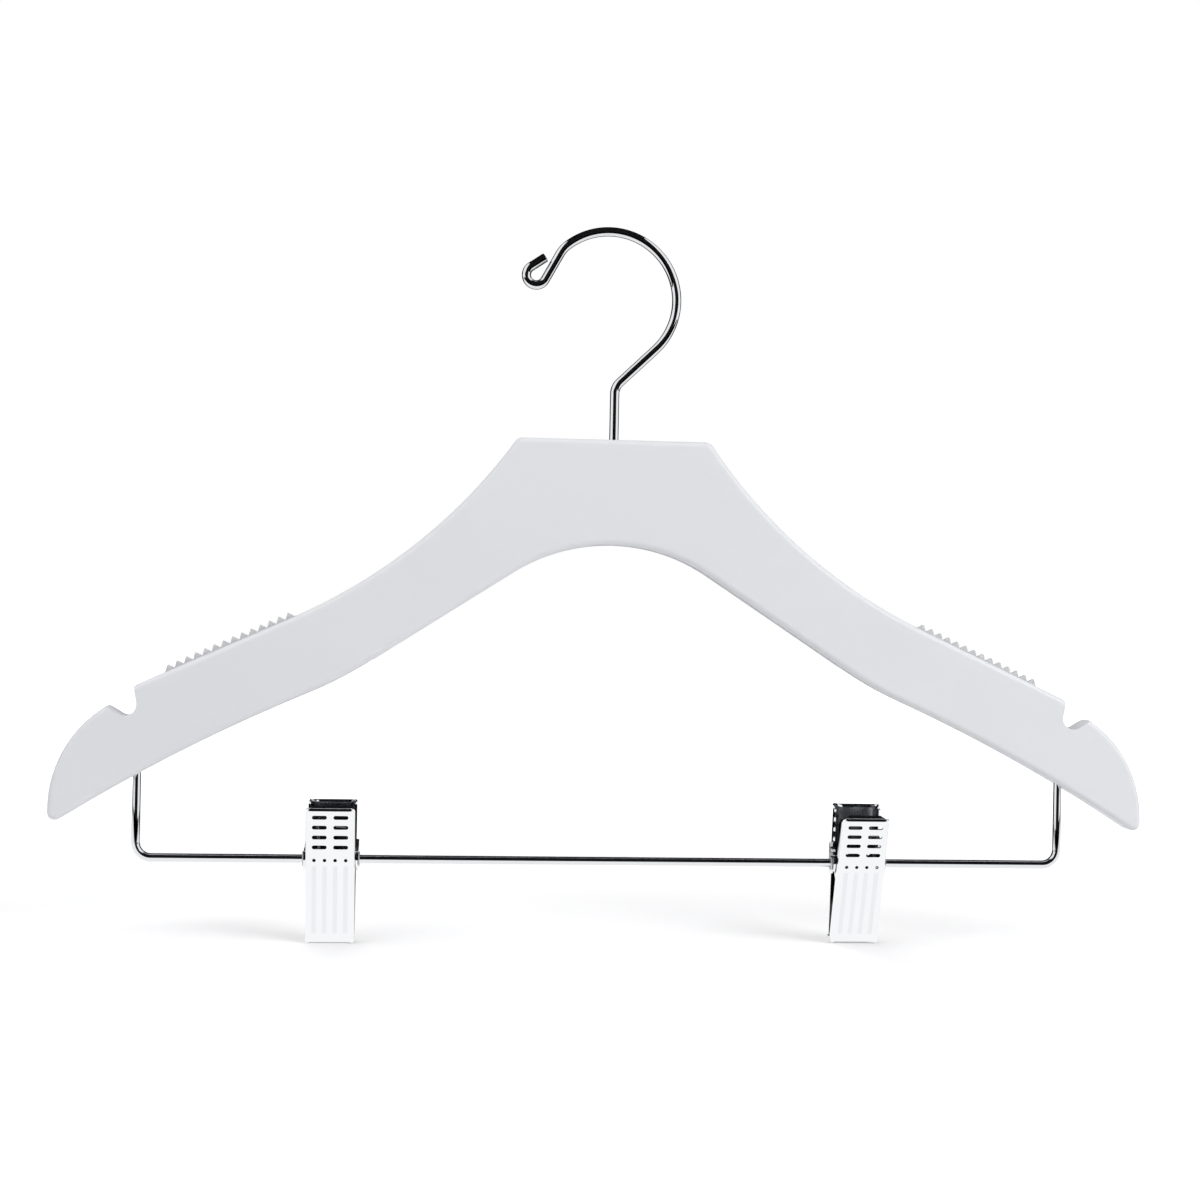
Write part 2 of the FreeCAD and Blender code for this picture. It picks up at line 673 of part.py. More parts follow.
    # Groove for the grip strip, with the cutter's round at both ends
    strip_length = value(STRIP_LENGTH)
    cutter = size("groove_cutter_radius")
    depth = size("groove_depth")
    climb = math.degrees(math.acos(1 - (depth + size("overrun")) / cutter))
    lower_end = OUTLINE.lip - OUTLINE.down_slope * size("strip_lip_gap") - OUTLINE.off_slope * depth
    upper_end = lower_end - OUTLINE.down_slope * strip_length
    run_out = OUTLINE.down_slope * (cutter * math.sin(math.radians(climb)))
    rise = OUTLINE.off_slope * (depth + size("overrun"))
    first = upper_end - run_out + rise
    trail = Trail(first.x, first.y, -size("shoulder_angle") - climb, mirror=side)
    trail.arc(cutter, climb)
    trail.forward(strip_length)
    trail.arc(cutter, climb)
    trail.straight_to(first)
    groove = new_sketch(arm, "GrooveOutline", "XZ_Plane")
    trail.draw(groove, sharp=(2, 3))
    fix_radius(groove, 0, "Sizes.groove_cutter_radius")
    groove.addConstraint(Sketcher.Constraint("Equal", 0, 2))
    bind(groove, Sketcher.Constraint("Angle", 1, math.radians(value(slope))), slope)
    bind(groove, Sketcher.Constraint("Distance", 1, strip_length), STRIP_LENGTH)
    groove.addConstraint(Sketcher.Constraint("Parallel", 1, 3))
    bottom = (
        f"{side} * ({LIP_ACROSS} - Sizes.strip_lip_gap * cos(Sizes.shoulder_angle)"
        " - Sizes.groove_depth * sin(Sizes.shoulder_angle))"
    )
    bottom_up = (
        f"{LIP_UP} + Sizes.strip_lip_gap * sin(Sizes.shoulder_angle)"
        " - Sizes.groove_depth * cos(Sizes.shoulder_angle)"
    )
    fix_point(groove, 1, 2, bottom, bottom_up)
    mouth = Sketcher.Constraint("Distance", 3, 1, 1, depth + size("overrun"))
    bind(groove, mouth, "Sizes.groove_depth + Sizes.overrun")
    pocket(arm, groove, "StripGroove", "Sizes.strip_width + 2 * Sizes.groove_clearance")

    # Blind hole for the trouser bar's leg, and this arm's half of the hook's bore
    hole_top = FreeCAD.Placement(FreeCAD.Vector(0, 0, LEG_TOP), FreeCAD.Rotation())
    leg_hole = new_sketch(arm, "LegHole", "XY_Plane", hole_top)
    circle(leg_hole, f"{side} * {LEG_ACROSS}", "0", "Sizes.bar_wire / 2 + Sizes.bar_fit")
    pocket(arm, leg_hole, "LegBore", "Sizes.bar_seat + Sizes.body_thickness", symmetric=False)
    hook_hole = new_sketch(arm, "HookHole", "XY_Plane")
    circle(hook_hole, "0", "0", "Sizes.bush_width / 2 + Sizes.bush_fit")
    pocket(arm, hook_hole, "HookBore", f"{HEAD_END} + Sizes.bore_end_gap", symmetric=False)
    at_body(arm)
    return arm


# Grip strips: ribbed rubber, drawn along the shoulder and laid in the groove
def make_grip_strip(label, side):
    strip = new_body(label)
    base = new_sketch(strip, "StripBase", "XZ_Plane")
    left = f"(-{STRIP_LENGTH} / 2)"
    right = f"({STRIP_LENGTH} / 2)"
    polygon(
        base,
        [
            (left, "-Sizes.groove_depth"),
            (right, "-Sizes.groove_depth"),
            (right, "Sizes.strip_proud"),
            (left, "Sizes.strip_proud"),
        ],
    )
    pad(strip, base, "Base", "Sizes.strip_width")
    tooth = new_sketch(strip, "StripTooth", "XZ_Plane")
    start = f"({left} + Sizes.strip_end_land)"
    crest = "(Sizes.strip_proud + Sizes.strip_tooth_height)"
    polygon(
        tooth,
        [
            (start, "Sizes.strip_proud"),
            (f"{start} + Sizes.strip_pitch", "Sizes.strip_proud"),
            (f"{start} + (Sizes.strip_pitch + Sizes.strip_tooth_flat) / 2", crest),
            (f"{start} + (Sizes.strip_pitch - Sizes.strip_tooth_flat) / 2", crest),
        ],
    )
    first_tooth = pad(strip, tooth, "Tooth", "Sizes.strip_width")
    row = strip.newObject("PartDesign::LinearPattern", "Teeth")
    row.Originals = [first_tooth]
    row.Direction = (tooth, ["H_Axis"])
    row.setExpression("Length", "(Sizes.strip_teeth - 1) * Sizes.strip_pitch")
    row.setExpression("Occurrences", "Sizes.strip_teeth")
    strip.Tip = row
    doc.recompute()
    from_lip = size("strip_lip_gap") + value(STRIP_LENGTH) / 2
    middle = OUTLINE.lip - OUTLINE.down_slope * from_lip
    place = FreeCAD.Vector(value(MIDDLE) + side * middle.x, 0, value(TOP_FACE) + middle.y)
    turn = FreeCAD.Rotation(FreeCAD.Vector(0, 1, 0), side * size("shoulder_angle"))
    strip.Placement = FreeCAD.Placement(place, turn)
    return strip


# Trouser bar: a wire with two upright legs in the arms' blind holes
def make_trouser_bar():
    bar = new_body("trouser_bar")
    reach = value(LEG_ACROSS)
    bend = size("bar_bend_radius")
    top = LEG_TOP - size("bar_end_gap")
    trail = Trail(-reach, top, -90)
    trail.forward(top + size("bar_drop") - bend)
    trail.arc(bend, 90)
    trail.forward(2 * (reach - bend))
    trail.arc(bend, 90)
    trail.forward(top + size("bar_drop") - bend)
    path = new_sketch(bar, "BarPath", "XZ_Plane")
    trail.draw(path, closed=False)
    path.addConstraint(Sketcher.Constraint("Vertical", 0))
    path.addConstraint(Sketcher.Constraint("Horizontal", 2))
    path.addConstraint(Sketcher.Constraint("Vertical", 4))
    path.addConstraint(Sketcher.Constraint("Equal", 0, 4))
    path.addConstraint(Sketcher.Constraint("Equal", 1, 3))
    fix_radius(path, 1, "Sizes.bar_bend_radius")
    fix_point(path, 2, 1, f"-({LEG_ACROSS} - Sizes.bar_bend_radius)", "-Sizes.bar_drop")
    right_leg = Sketcher.Constraint("DistanceX", -1, 1, 4, 2, reach)
    bind(path, right_leg, LEG_ACROSS)
    leg = Sketcher.Constraint("DistanceY", -1, 1, 4, 2, top)
    bind(path, leg, f"{LEG_TOP} - Sizes.bar_end_gap")
    start = FreeCAD.Placement(FreeCAD.Vector(0, 0, top), FreeCAD.Rotation())
    section = new_sketch(bar, "BarSection", "XY_Plane", start)
    circle(section, f"-{LEG_ACROSS}", "0", "Sizes.bar_wire / 2")
    wire_sweep(bar, path, section, "BarWire")
    at_body(bar)
    return bar


# Points on a jaw's side view, in its own frame: pivot at the origin, outer face towards -Y
def lever_point(along, inward):
    """A point up the lever from the bend, and inward from its outer face."""
    across = (
        f"-Sizes.bend_depth - ({along}) * sin(Sizes.lever_angle)"
        f" + ({inward}) * cos(Sizes.lever_angle)"
    )
    up = f"({along}) * cos(Sizes.lever_angle) + ({inward}) * sin(Sizes.lever_angle)"
    return across, up


def mouth_point(along, inward):
    """A point down the mouth from the bend, and inward from its outer face."""
    across = (
        f"-Sizes.bend_depth + ({along}) * sin(Sizes.mouth_angle)"
        f" + ({inward}) * cos(Sizes.mouth_angle)"
    )
    up = f"-({along}) * cos(Sizes.mouth_angle) + ({inward}) * sin(Sizes.mouth_angle)"
    return across, up


GAUGE = "Sizes.jaw_gauge"
LEVER = "Sizes.lever_length"
MOUTH = "Sizes.mouth_length"
TUBE_BORE = "(Sizes.bar_wire / 2 + Sizes.tube_clearance)"
TUBE_RADIUS = f"({TUBE_BORE} + Sizes.tube_wall)"
PIVOT_HOLE = f"({TUBE_RADIUS} + Sizes.pivot_clearance)"
OUTER_EAR = "(Sizes.jaw_width / 2 + Sizes.ear_gap + Sizes.jaw_gauge)"
MOUTH_FLANGE = (
    f"((Sizes.bend_depth - {MOUTH} * sin(Sizes.mouth_angle) - Sizes.mouth_flange_gap)"
    " / cos(Sizes.mouth_angle))"
)


# Clip jaws: a pressed channel with lips, ears, finger slots, a row of holes and ribs
def make_jaw(label, ears_outside):
    jaw = new_body(label)
    channel = new_sketch(jaw, "ChannelOutline", "YZ_Plane")
    relief_up = f"{LEVER} - Sizes.corner_relief"
    relief_down = f"{MOUTH} - Sizes.corner_relief"
    polygon(
        channel,
        [
            lever_point(LEVER, "0"),
            lever_point("0", "0"),
            mouth_point(MOUTH, "0"),
            mouth_point(MOUTH, GAUGE),
            mouth_point(relief_down, GAUGE),
            mouth_point(relief_down, MOUTH_FLANGE),
            mouth_point("Sizes.ear_reach", MOUTH_FLANGE),
            lever_point("Sizes.ear_reach", "Sizes.lever_flange"),
            lever_point(relief_up, "Sizes.lever_flange"),
            lever_point(relief_up, GAUGE),
            lever_point(LEVER, GAUGE),
        ],
    )
    pad(jaw, channel, "Channel", "Sizes.jaw_width")

    # The bends between the face and its flanges are rounded
    turns = [lever_point(LEVER, "0"), lever_point("0", "0"), mouth_point(MOUTH, "0")]
    places = [(value(across), value(up)) for across, up in turns]
    slack = size("jaw_gauge") / 100
    bends = []
    for number, edge in enumerate(jaw.Tip.Shape.Edges, start=1):
        ends = [vertex.Point for vertex in edge.Vertexes]
        runs_along = abs(ends[0].x - ends[1].x) < slack
        on_face = all(min(math.dist((end.y, end.z), place) for place in places) < slack for end in ends)
        if runs_along and on_face:
            bends.append(number)
    fillet(jaw, "RoundedBends", bends, "Sizes.jaw_round")

    lips = new_sketch(jaw, "LipOutlines", "YZ_Plane")
    polygon(
        lips,
        [
            lever_point(LEVER, f"{GAUGE} / 2"),
            lever_point(LEVER, "Sizes.lever_lip"),
            lever_point(f"{LEVER} - {GAUGE}", "Sizes.lever_lip"),
            lever_point(f"{LEVER} - {GAUGE}", f"{GAUGE} / 2"),
        ],
    )
    polygon(
        lips,
        [
            mouth_point(MOUTH, f"{GAUGE} / 2"),
            mouth_point(MOUTH, "Sizes.mouth_lip"),
            mouth_point(f"{MOUTH} - {GAUGE}", "Sizes.mouth_lip"),
            mouth_point(f"{MOUTH} - {GAUGE}", f"{GAUGE} / 2"),
        ],
    )
    pad(jaw, lips, "Lips", "Sizes.jaw_lip_width")

    # Ears round the pivot, in line with the flanges or joggled outside the other jaw's
    ears = new_sketch(jaw, "EarOutline", "YZ_Plane")
    root_turn = math.radians(90 + size("ear_root_angle"))
    ring = Part.Circle(FreeCAD.Vector(0, 0, 0), FreeCAD.Vector(0, 0, 1), size("ear_radius"))
    ears.addGeometry(Part.ArcOfCircle(ring, -root_turn, root_turn))
    root_across = "-Sizes.ear_radius * sin(Sizes.ear_root_angle)"
    root_up = "Sizes.ear_radius * cos(Sizes.ear_root_angle)"
    root = [
        (root_across, root_up),
        lever_point("Sizes.ear_reach", "Sizes.lever_flange / 2"),
        mouth_point("Sizes.ear_reach", "Sizes.lever_flange / 2"),
        (root_across, f"-{root_up}"),
    ]
    corners = [FreeCAD.Vector(value(across), value(up), 0) for across, up in root]
    for start, finish in zip(corners, corners[1:]):
        ears.addGeometry(Part.LineSegment(start, finish))
    for before, after in ((0, 1), (1, 2), (2, 3), (3, 0)):
        ears.addConstraint(Sketcher.Constraint("Coincident", before, 2, after, 1))
    fix_point(ears, 0, 3, "0", "0")
    fix_radius(ears, 0, "Sizes.ear_radius")
    for end in (1, 2):
        bind(ears, Sketcher.Constraint("DistanceX", -1, 1, 0, end, value(root_across)), root_across)
    for edge, (across, up) in ((2, root[1]), (3, root[2])):
        fix_point(ears, edge, 1, across, up)
    ear_half = OUTER_EAR if ears_outside else "Sizes.jaw_width / 2"
    pad(jaw, ears, "Ears", f"2 * ({ear_half})")
    if ears_outside:
        room = new_sketch(jaw, "EarRoom", "YZ_Plane")
        clear = "(Sizes.ear_radius + Sizes.ear_gap)"
        trail = Trail(value(clear), value(clear), 180)
        trail.forward(value(clear))
        trail.arc(value(clear), 180)
        trail.forward(value(clear))
        trail.straight_to(FreeCAD.Vector(value(clear), value(clear), 0))
        trail.draw(room, sharp=(2, 3))
        fix_radius(room, 1, clear)
        fix_point(room, 1, 3, "0", "0")
        room.addConstraint(Sketcher.Constraint("Vertical", 3))
        room.addConstraint(Sketcher.Constraint("Horizontal", 0))
        room.addConstraint(Sketcher.Constraint("Horizontal", 2))
        far = Sketcher.Constraint("DistanceX", -1, 1, 3, 1, value(clear))
        bind(room, far, clear)
        pocket(jaw, room, "EarSpace", "Sizes.jaw_width + 2 * Sizes.ear_gap")

    hollow = new_sketch(jaw, "HollowOutline", "YZ_Plane")
    beyond = "2 * Sizes.bend_depth"
    polygon(
        hollow,
        [
            lever_point(f"{LEVER} - {GAUGE}", GAUGE),
            lever_point(f"{GAUGE} * tan((Sizes.mouth_angle - Sizes.lever_angle) / 2)", GAUGE),
            mouth_point(f"{MOUTH} - {GAUGE}", GAUGE),
            mouth_point(f"{MOUTH} - {GAUGE}", beyond),
            ("Sizes.ear_radius + Sizes.overrun", "0"),
            lever_point(f"{LEVER} - {GAUGE}", beyond),
        ],
    )
    pocket(jaw, hollow, "Hollow", "Sizes.jaw_width - 2 * Sizes.jaw_gauge")
    pivot = new_sketch(jaw, "PivotHole", "YZ_Plane")
    circle(pivot, "0", "0", PIVOT_HOLE)
    pocket(jaw, pivot, "PivotBore", f"2 * {OUTER_EAR} + Sizes.overrun")

    # The row of holes, and on the front jaw the finger slots, cut square to the lever
    at_bend = FreeCAD.Vector(0, 0, size("bend_depth"))
    tilt_axis = FreeCAD.Vector(1, 0, 0)
    lever_plane = FreeCAD.Placement(at_bend, FreeCAD.Rotation(tilt_axis, size("lever_angle")))
    openings = new_sketch(jaw, "FaceOpenings", "XZ_Plane", lever_plane)
    radius = "Sizes.slot_height / 2"
    near = f"(Sizes.slot_bridge / 2 + {radius})"
    far = f"(Sizes.slot_bridge / 2 + Sizes.slot_length - {radius})"
    rows = 0 if ears_outside else int(size("slot_rows"))
    for line in range(rows):
        up = f"Sizes.slot_start + {line} * Sizes.slot_pitch"
        for side in (-1, 1):
            slot(openings, (f"{side} * {near}", up), (f"{side} * {far}", up), radius)
    hole_places = []
    for index in range(int(size("hole_count"))):
        hole_places.append(f"({index} - (Sizes.hole_count - 1) / 2) * Sizes.hole_pitch")
    for across in hole_places:
        circle(openings, across, "Sizes.hole_level", "Sizes.hole_width / 2")
    pocket(jaw, openings, "FaceCuts", "2 * Sizes.jaw_gauge", symmetric=False)

    # Stiffening ribs on the mouth, one below each hole
    mouth_plane = FreeCAD.Placement(at_bend, FreeCAD.Rotation(tilt_axis, size("mouth_angle")))
    ribs = new_sketch(jaw, "RibOutlines", "XZ_Plane", mouth_plane)
    rib_radius = "Sizes.rib_width / 2"
    rib_foot = f"-({MOUTH} - Sizes.rib_end - {rib_radius})"
    for across in hole_places:
        slot(ribs, (across, f"-(Sizes.rib_start + {rib_radius})"), (across, rib_foot), rib_radius)
    pad(jaw, ribs, "Ribs", "Sizes.rib_height", symmetric=False)
    return jaw


# Gripping pads: rubber wedges that fill each jaw's tip and meet at the middle
def make_pad(label):
    cushion = new_body(label)
    seat = f"{MOUTH} - {GAUGE}"
    top = f"{seat} - Sizes.pad_height"
    front = "-Sizes.pad_gap / 2"
    depth = (
        f"((Sizes.bend_depth - Sizes.pad_gap / 2 - ({seat}) * sin(Sizes.mouth_angle))"
        " / cos(Sizes.mouth_angle))"
    )
    front_low = mouth_point(seat, depth)
    back_low = mouth_point(seat, GAUGE)
    back_high = mouth_point(top, GAUGE)
    corners = [back_low, back_high]
    rib_count = int(size("pad_ribs"))
    grip_top = f"({back_high[1]} - Sizes.pad_bevel)"
    grip_height = f"({grip_top} - ({front_low[1]}))"
    for rib in range(rib_count):
        crest = f"{grip_top} - {rib} / {rib_count} * {grip_height}"
        valley = f"{grip_top} - ({rib} + 1 / 2) / {rib_count} * {grip_height}"
        corners.append((front, crest))
        corners.append((f"{front} - Sizes.pad_rib_depth", valley))
    corners.append(front_low)
    profile = new_sketch(cushion, "PadOutline", "YZ_Plane")
    polygon(profile, corners)
    pad(cushion, profile, "Pad", "Sizes.jaw_width - 2 * (Sizes.jaw_gauge + Sizes.pad_side_gap)")
    return cushion


# Pivot tube: a flanged sleeve that slides on the bar and carries both jaws' ears
def make_pivot_tube(label):
    tube = new_body(label)
    inner_face = f"({OUTER_EAR} + Sizes.tube_flange_gap)"
    end = f"({inner_face} + Sizes.tube_wall)"
    flange = f"({TUBE_RADIUS} + Sizes.tube_flange)"
    profile = new_sketch(tube, "TubeProfile", "XZ_Plane")
    polygon(
        profile,
        [
            (f"-{end}", TUBE_BORE),
            (end, TUBE_BORE),
            (end, flange),
            (inner_face, flange),
            (inner_face, TUBE_RADIUS),
            (f"-{inner_face}", TUBE_RADIUS),
            (f"-{inner_face}", flange),
            (f"-{end}", flange),
        ],
    )
    revolve(tube, profile, "TubeTurned", "H_Axis")
    return tube


def bend_through(start, start_way, finish, finish_way):
    """Two arcs that leave one point and reach another along given directions."""
    across = finish - start
    both = start_way + finish_way
    spread = 2 * (1 - start_way.dot(finish_way))
    along = across.dot(both)
    reach = (math.sqrt(along**2 + spread * across.dot(across)) - along) / spread
    meeting = (start + start_way * reach + finish - finish_way * reach) * 0.5
    arcs = []
    for first, way, last in ((start, start_way, meeting), (finish, finish_way * -1, meeting)):
        chord = last - first
        half_turn = way.getAngle(chord) / 2
        normal = (way - chord * (way.dot(chord) / chord.dot(chord))).normalize()
        middle = (first + last) * 0.5 + normal * (chord.Length / 2 * math.tan(half_turn))
        arcs.append((first, middle, last))
    near = Part.Arc(*arcs[0]).toShape()
    far = Part.Arc(arcs[1][2], arcs[1][1], arcs[1][0]).toShape()
    return [near, far]


# Torsion spring: a coil round the pivot tube, with a leg and a foot inside each lever
def make_spring(label):
    wire = size("spring_wire")
    radius = value(TUBE_RADIUS) + size("spring_bore_gap") + wire / 2
    pitch = size("spring_pitch")
    leg = size("spring_leg")
    lever_face = size("bend_depth") * math.cos(math.radians(size("lever_angle"))) - size("jaw_gauge")
    leg_distance = lever_face - wire / 2 - size("spring_leg_gap")
    splay = math.asin(leg_distance / math.hypot(radius, leg)) - math.atan2(radius, leg)
    lean = math.radians(size("lever_angle")) + splay
    turning = 2 * math.pi * size("spring_turns") + math.pi - 2 * lean
    climb = pitch / (2 * math.pi)

    def coil_point(turn):
        """Place and direction on the coil after a turn from the rear leg."""
        angle = -lean - turn
        place = FreeCAD.Vector(
            climb * (turn - turning / 2), radius * math.cos(angle), radius * math.sin(angle)
        )
        way = FreeCAD.Vector(climb, radius * math.sin(angle), -radius * math.cos(angle))
        return place, way.normalize()

    quarters = math.ceil(turning / (math.pi / 2))
    edges = []
    for quarter in range(quarters):
        start, start_way = coil_point(turning * quarter / quarters)
        finish, finish_way = coil_point(turning * (quarter + 1) / quarters)
        edges += bend_through(start, start_way, finish, finish_way)

    # Each leg leaves the coil straight and ends in a foot that lies across its lever
    foot_round = size("spring_foot_radius")
    across = FreeCAD.Vector(1, 0, 0)
    for turn, sense in ((0, -1), (turning, 1)):
        root, way = coil_point(turn)
        outward = way * sense
        inward = across * (-sense)
        square = (inward - outward * inward.dot(outward)).normalize()
        leg_end = root + outward * (leg - foot_round)
        centre = leg_end + square * foot_round
        corner = centre + (outward - square) * (foot_round / math.sqrt(2))
        foot_start = centre + outward * foot_round
        foot_end = foot_start + square * size("spring_foot")
        pieces = [
            Part.LineSegment(root, leg_end).toShape(),
            Part.Arc(leg_end, corner, foot_start).toShape(),
            Part.LineSegment(foot_start, foot_end).toShape(),
        ]
        edges = edges + pieces if sense > 0 else pieces[::-1] + edges
    path = Part.Wire(Part.__sortEdges__(edges))
    ends = path.OrderedVertexes
    way = ends[1].Point - ends[0].Point
    section = Part.Wire(Part.makeCircle(wire / 2, ends[0].Point, way))
    solid = path.makePipeShell([section], True, False)

    # The turns stand clear of each other, and the tube holds its section all along
    points = path.discretize(Distance=wire / 4)
    apart = math.ceil(math.pi * wire / (wire / 4))
    gaps = []
    for index, point in enumerate(points):
        for other in points[index + apart :]:
            gaps.append(point.distanceToPoint(other) - wire)
    section_volume = math.pi * (wire / 2) ** 2 * path.Length
    least_gap = min(gaps)
    print(f"{label}: least gap {least_gap:.2f} mm, volume {solid.Volume / section_volume:.4f} of its tube")
    spring = doc.addObject("Part::Feature", label)
    spring.Label = label
    spring.Shape = solid
    return spring


def make_clip(side_name, side):
    """All pieces of one clip, leant about the bar."""
    place = FreeCAD.Vector(
        value(MIDDLE) + side * size(f"{side_name}_clip_span"), 0, value(BAR_HEIGHT)
    )
    lean = FreeCAD.Rotation(FreeCAD.Vector(1, 0, 0), size(f"{side_name}_clip_lean"))
    seat = FreeCAD.Placement(place, lean)
    about_face = FreeCAD.Rotation(FreeCAD.Vector(0, 0, 1), 180)
    turned = FreeCAD.Placement(place, lean.multiply(about_face))
    pieces = []
    for piece, where in (
        (make_jaw(f"{side_name}_front_jaw", ears_outside=False), seat),
        (make_jaw(f"{side_name}_rear_jaw", ears_outside=True), turned),
        (make_pad(f"{side_name}_front_pad"), seat),
        (make_pad(f"{side_name}_rear_pad"), turned),
        (make_pivot_tube(f"{side_name}_pivot_tube"), seat),
        (make_spring(f"{side_name}_clip_spring"), seat),
    ):
        piece.Placement = where
        pieces.append(piece)
    return pieces


pieces = [make_arm("left_arm", -1), make_arm("right_arm", 1)]
pieces += [make_hook(), make_hook_bush(), make_hook_washer()]
pieces += [make_grip_strip("left_grip_strip", -1), make_grip_strip("right_grip_strip", 1)]
pieces.append(make_trouser_bar())
pieces += make_clip("left", -1)
pieces += make_clip("right", 1)
doc.recompute()

for item in doc.Objects:
    if "Invalid" in item.State or "Error" in item.State:
        raise RuntimeError(f"{item.Label} failed: {item.State}")
for piece in pieces:
    if piece.Shape.isNull() or not piece.Shape.isValid():
        raise RuntimeError(f"{piece.Label} has no valid shape")

os.makedirs("parts", exist_ok=True)
for piece in pieces:
    piece.Shape.exportStep(os.path.join("parts", f"{piece.Label}.step"))
    print(f"{piece.Label}: {len(piece.Shape.Solids)} solid, {piece.Shape.Volume:.0f} mm3")
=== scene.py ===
import cmath
import math
import bmesh
import bpy
from mathutils import Matrix, Vector


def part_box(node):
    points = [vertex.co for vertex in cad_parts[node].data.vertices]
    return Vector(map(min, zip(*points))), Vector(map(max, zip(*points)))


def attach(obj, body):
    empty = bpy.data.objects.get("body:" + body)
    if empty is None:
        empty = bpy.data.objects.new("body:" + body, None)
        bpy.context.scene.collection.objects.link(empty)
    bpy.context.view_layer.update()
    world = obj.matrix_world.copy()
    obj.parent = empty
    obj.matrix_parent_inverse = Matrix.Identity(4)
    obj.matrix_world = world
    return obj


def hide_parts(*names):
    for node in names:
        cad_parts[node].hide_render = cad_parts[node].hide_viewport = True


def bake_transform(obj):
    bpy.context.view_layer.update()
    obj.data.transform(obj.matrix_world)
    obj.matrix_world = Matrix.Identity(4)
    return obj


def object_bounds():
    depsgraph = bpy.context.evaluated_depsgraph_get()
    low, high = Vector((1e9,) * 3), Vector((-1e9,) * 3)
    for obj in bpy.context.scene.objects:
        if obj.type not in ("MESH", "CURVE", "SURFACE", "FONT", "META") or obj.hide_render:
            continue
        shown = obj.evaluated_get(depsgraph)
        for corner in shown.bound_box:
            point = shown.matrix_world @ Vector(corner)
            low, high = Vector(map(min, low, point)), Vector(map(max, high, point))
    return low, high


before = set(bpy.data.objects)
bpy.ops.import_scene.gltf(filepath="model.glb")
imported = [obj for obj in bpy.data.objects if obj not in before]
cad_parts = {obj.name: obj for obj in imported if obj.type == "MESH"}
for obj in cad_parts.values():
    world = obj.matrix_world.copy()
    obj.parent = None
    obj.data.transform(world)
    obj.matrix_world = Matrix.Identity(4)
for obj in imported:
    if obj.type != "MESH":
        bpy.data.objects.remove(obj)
cad_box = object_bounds()


# Arms: the body is two bent arms of hardwood, glued at a finger joint in the middle. Each is cut
# from board, its rims are rounded over with a router, and both are sprayed with satin lacquer.
class Signal:
    """A value, colour or vector in a material's nodes; arithmetic on it adds Math nodes."""

    def __init__(self, tree, socket=None):
        self.tree = tree
        self.socket = socket

    def node(self, kind, settings=None, sockets=None, output=0):
        """Adds a node of a type: its settings first, then the values or links of its sockets."""
        made = self.tree.nodes.new(kind)
        for name, setting in (settings or {}).items():
            setattr(made, name, setting)
        for name, given in (sockets or {}).items():
            if isinstance(given, Signal):
                self.tree.links.new(given.socket, made.inputs[name])
            else:
                made.inputs[name].default_value = given
        return Signal(self.tree, made.outputs[output] if made.outputs else None)

    def combine(self, operation, first, second):
        return self.node("ShaderNodeMath", {"operation": operation}, {0: first, 1: second})

    def __add__(self, other):
        return self.combine("ADD", self, other)

    def __radd__(self, other):
        return self.combine("ADD", other, self)

    def __sub__(self, other):
        return self.combine("SUBTRACT", self, other)

    def __rsub__(self, other):
        return self.combine("SUBTRACT", other, self)

    def __mul__(self, other):
        return self.combine("MULTIPLY", self, other)

    def __rmul__(self, other):
        return self.combine("MULTIPLY", other, self)

    def __abs__(self):
        return self.node("ShaderNodeMath", {"operation": "ABSOLUTE"}, {0: self})

    def ramp(self, start, end):
        """0 up to the start and 1 from the end on, rising smoothly between; end may be the lower."""
        sockets = {"Value": self, "From Min": start, "From Max": end}
        return self.node("ShaderNodeMapRange", {"interpolation_type": "SMOOTHSTEP"}, sockets)


def new_finish(name):
    """An empty material, its node tree and a signal for the object's own coordinates."""
    material = bpy.data.materials.new(name)
    material.use_nodes = True
    material.node_tree.nodes.clear()
    blank = Signal(material.node_tree)
    return material, blank.node("ShaderNodeTexCoord", output="Object")


def surface(place, sockets):
    """Ends a material in one Principled shader with the given values and links."""
    shader = place.node("ShaderNodeBsdfPrincipled", None, sockets)
    place.node("ShaderNodeOutputMaterial", None, {"Surface": shader})


def noise(place, grain, detail=2.0, stretch=(1, 1, 1)):
    """Soft noise from 0 to 1 with grains of about the given size in metres."""
    scale = tuple(part / grain for part in stretch)
    moved = place.node("ShaderNodeMapping", None, {"Vector": place, "Scale": scale})
    sockets = {"Vector": moved, "Scale": 1.0, "Detail": detail}
    return place.node("ShaderNodeTexNoise", None, sockets)


def bump(place, strength, depth, height):
    """A normal for relief of a depth in metres, from a height between 0 and 1."""
    sockets = {"Strength": strength, "Distance": depth, "Height": height}
    return place.node("ShaderNodeBump", None, sockets)


def blend_colour(place, share, first, second):
    """A colour between two, by a share from 0 to 1."""
    sockets = {0: share, 6: first, 7: second}
    return place.node("ShaderNodeMix", {"data_type": "RGBA"}, sockets, output=2)


lacquer, place = new_finish("white_lacquer")
cloud = noise(place, 0.06)
peel = noise(place, 0.0011, detail=1.0)
grain = noise(place, 0.0016, detail=3.0, stretch=(0.06, 1, 0.5))
relief = peel * 0.6 + grain * 0.4
surface(
    place,
    {
        "Base Color": blend_colour(place, cloud, (0.735, 0.745, 0.775, 1), (0.765, 0.775, 0.8, 1)),
        "Roughness": 0.3 + 0.12 * noise(place, 0.02),
        "Normal": bump(place, 0.12, 0.0002, relief),
    },
)
for node in ("left_arm", "right_arm"):
    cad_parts[node].data.materials[0] = lacquer


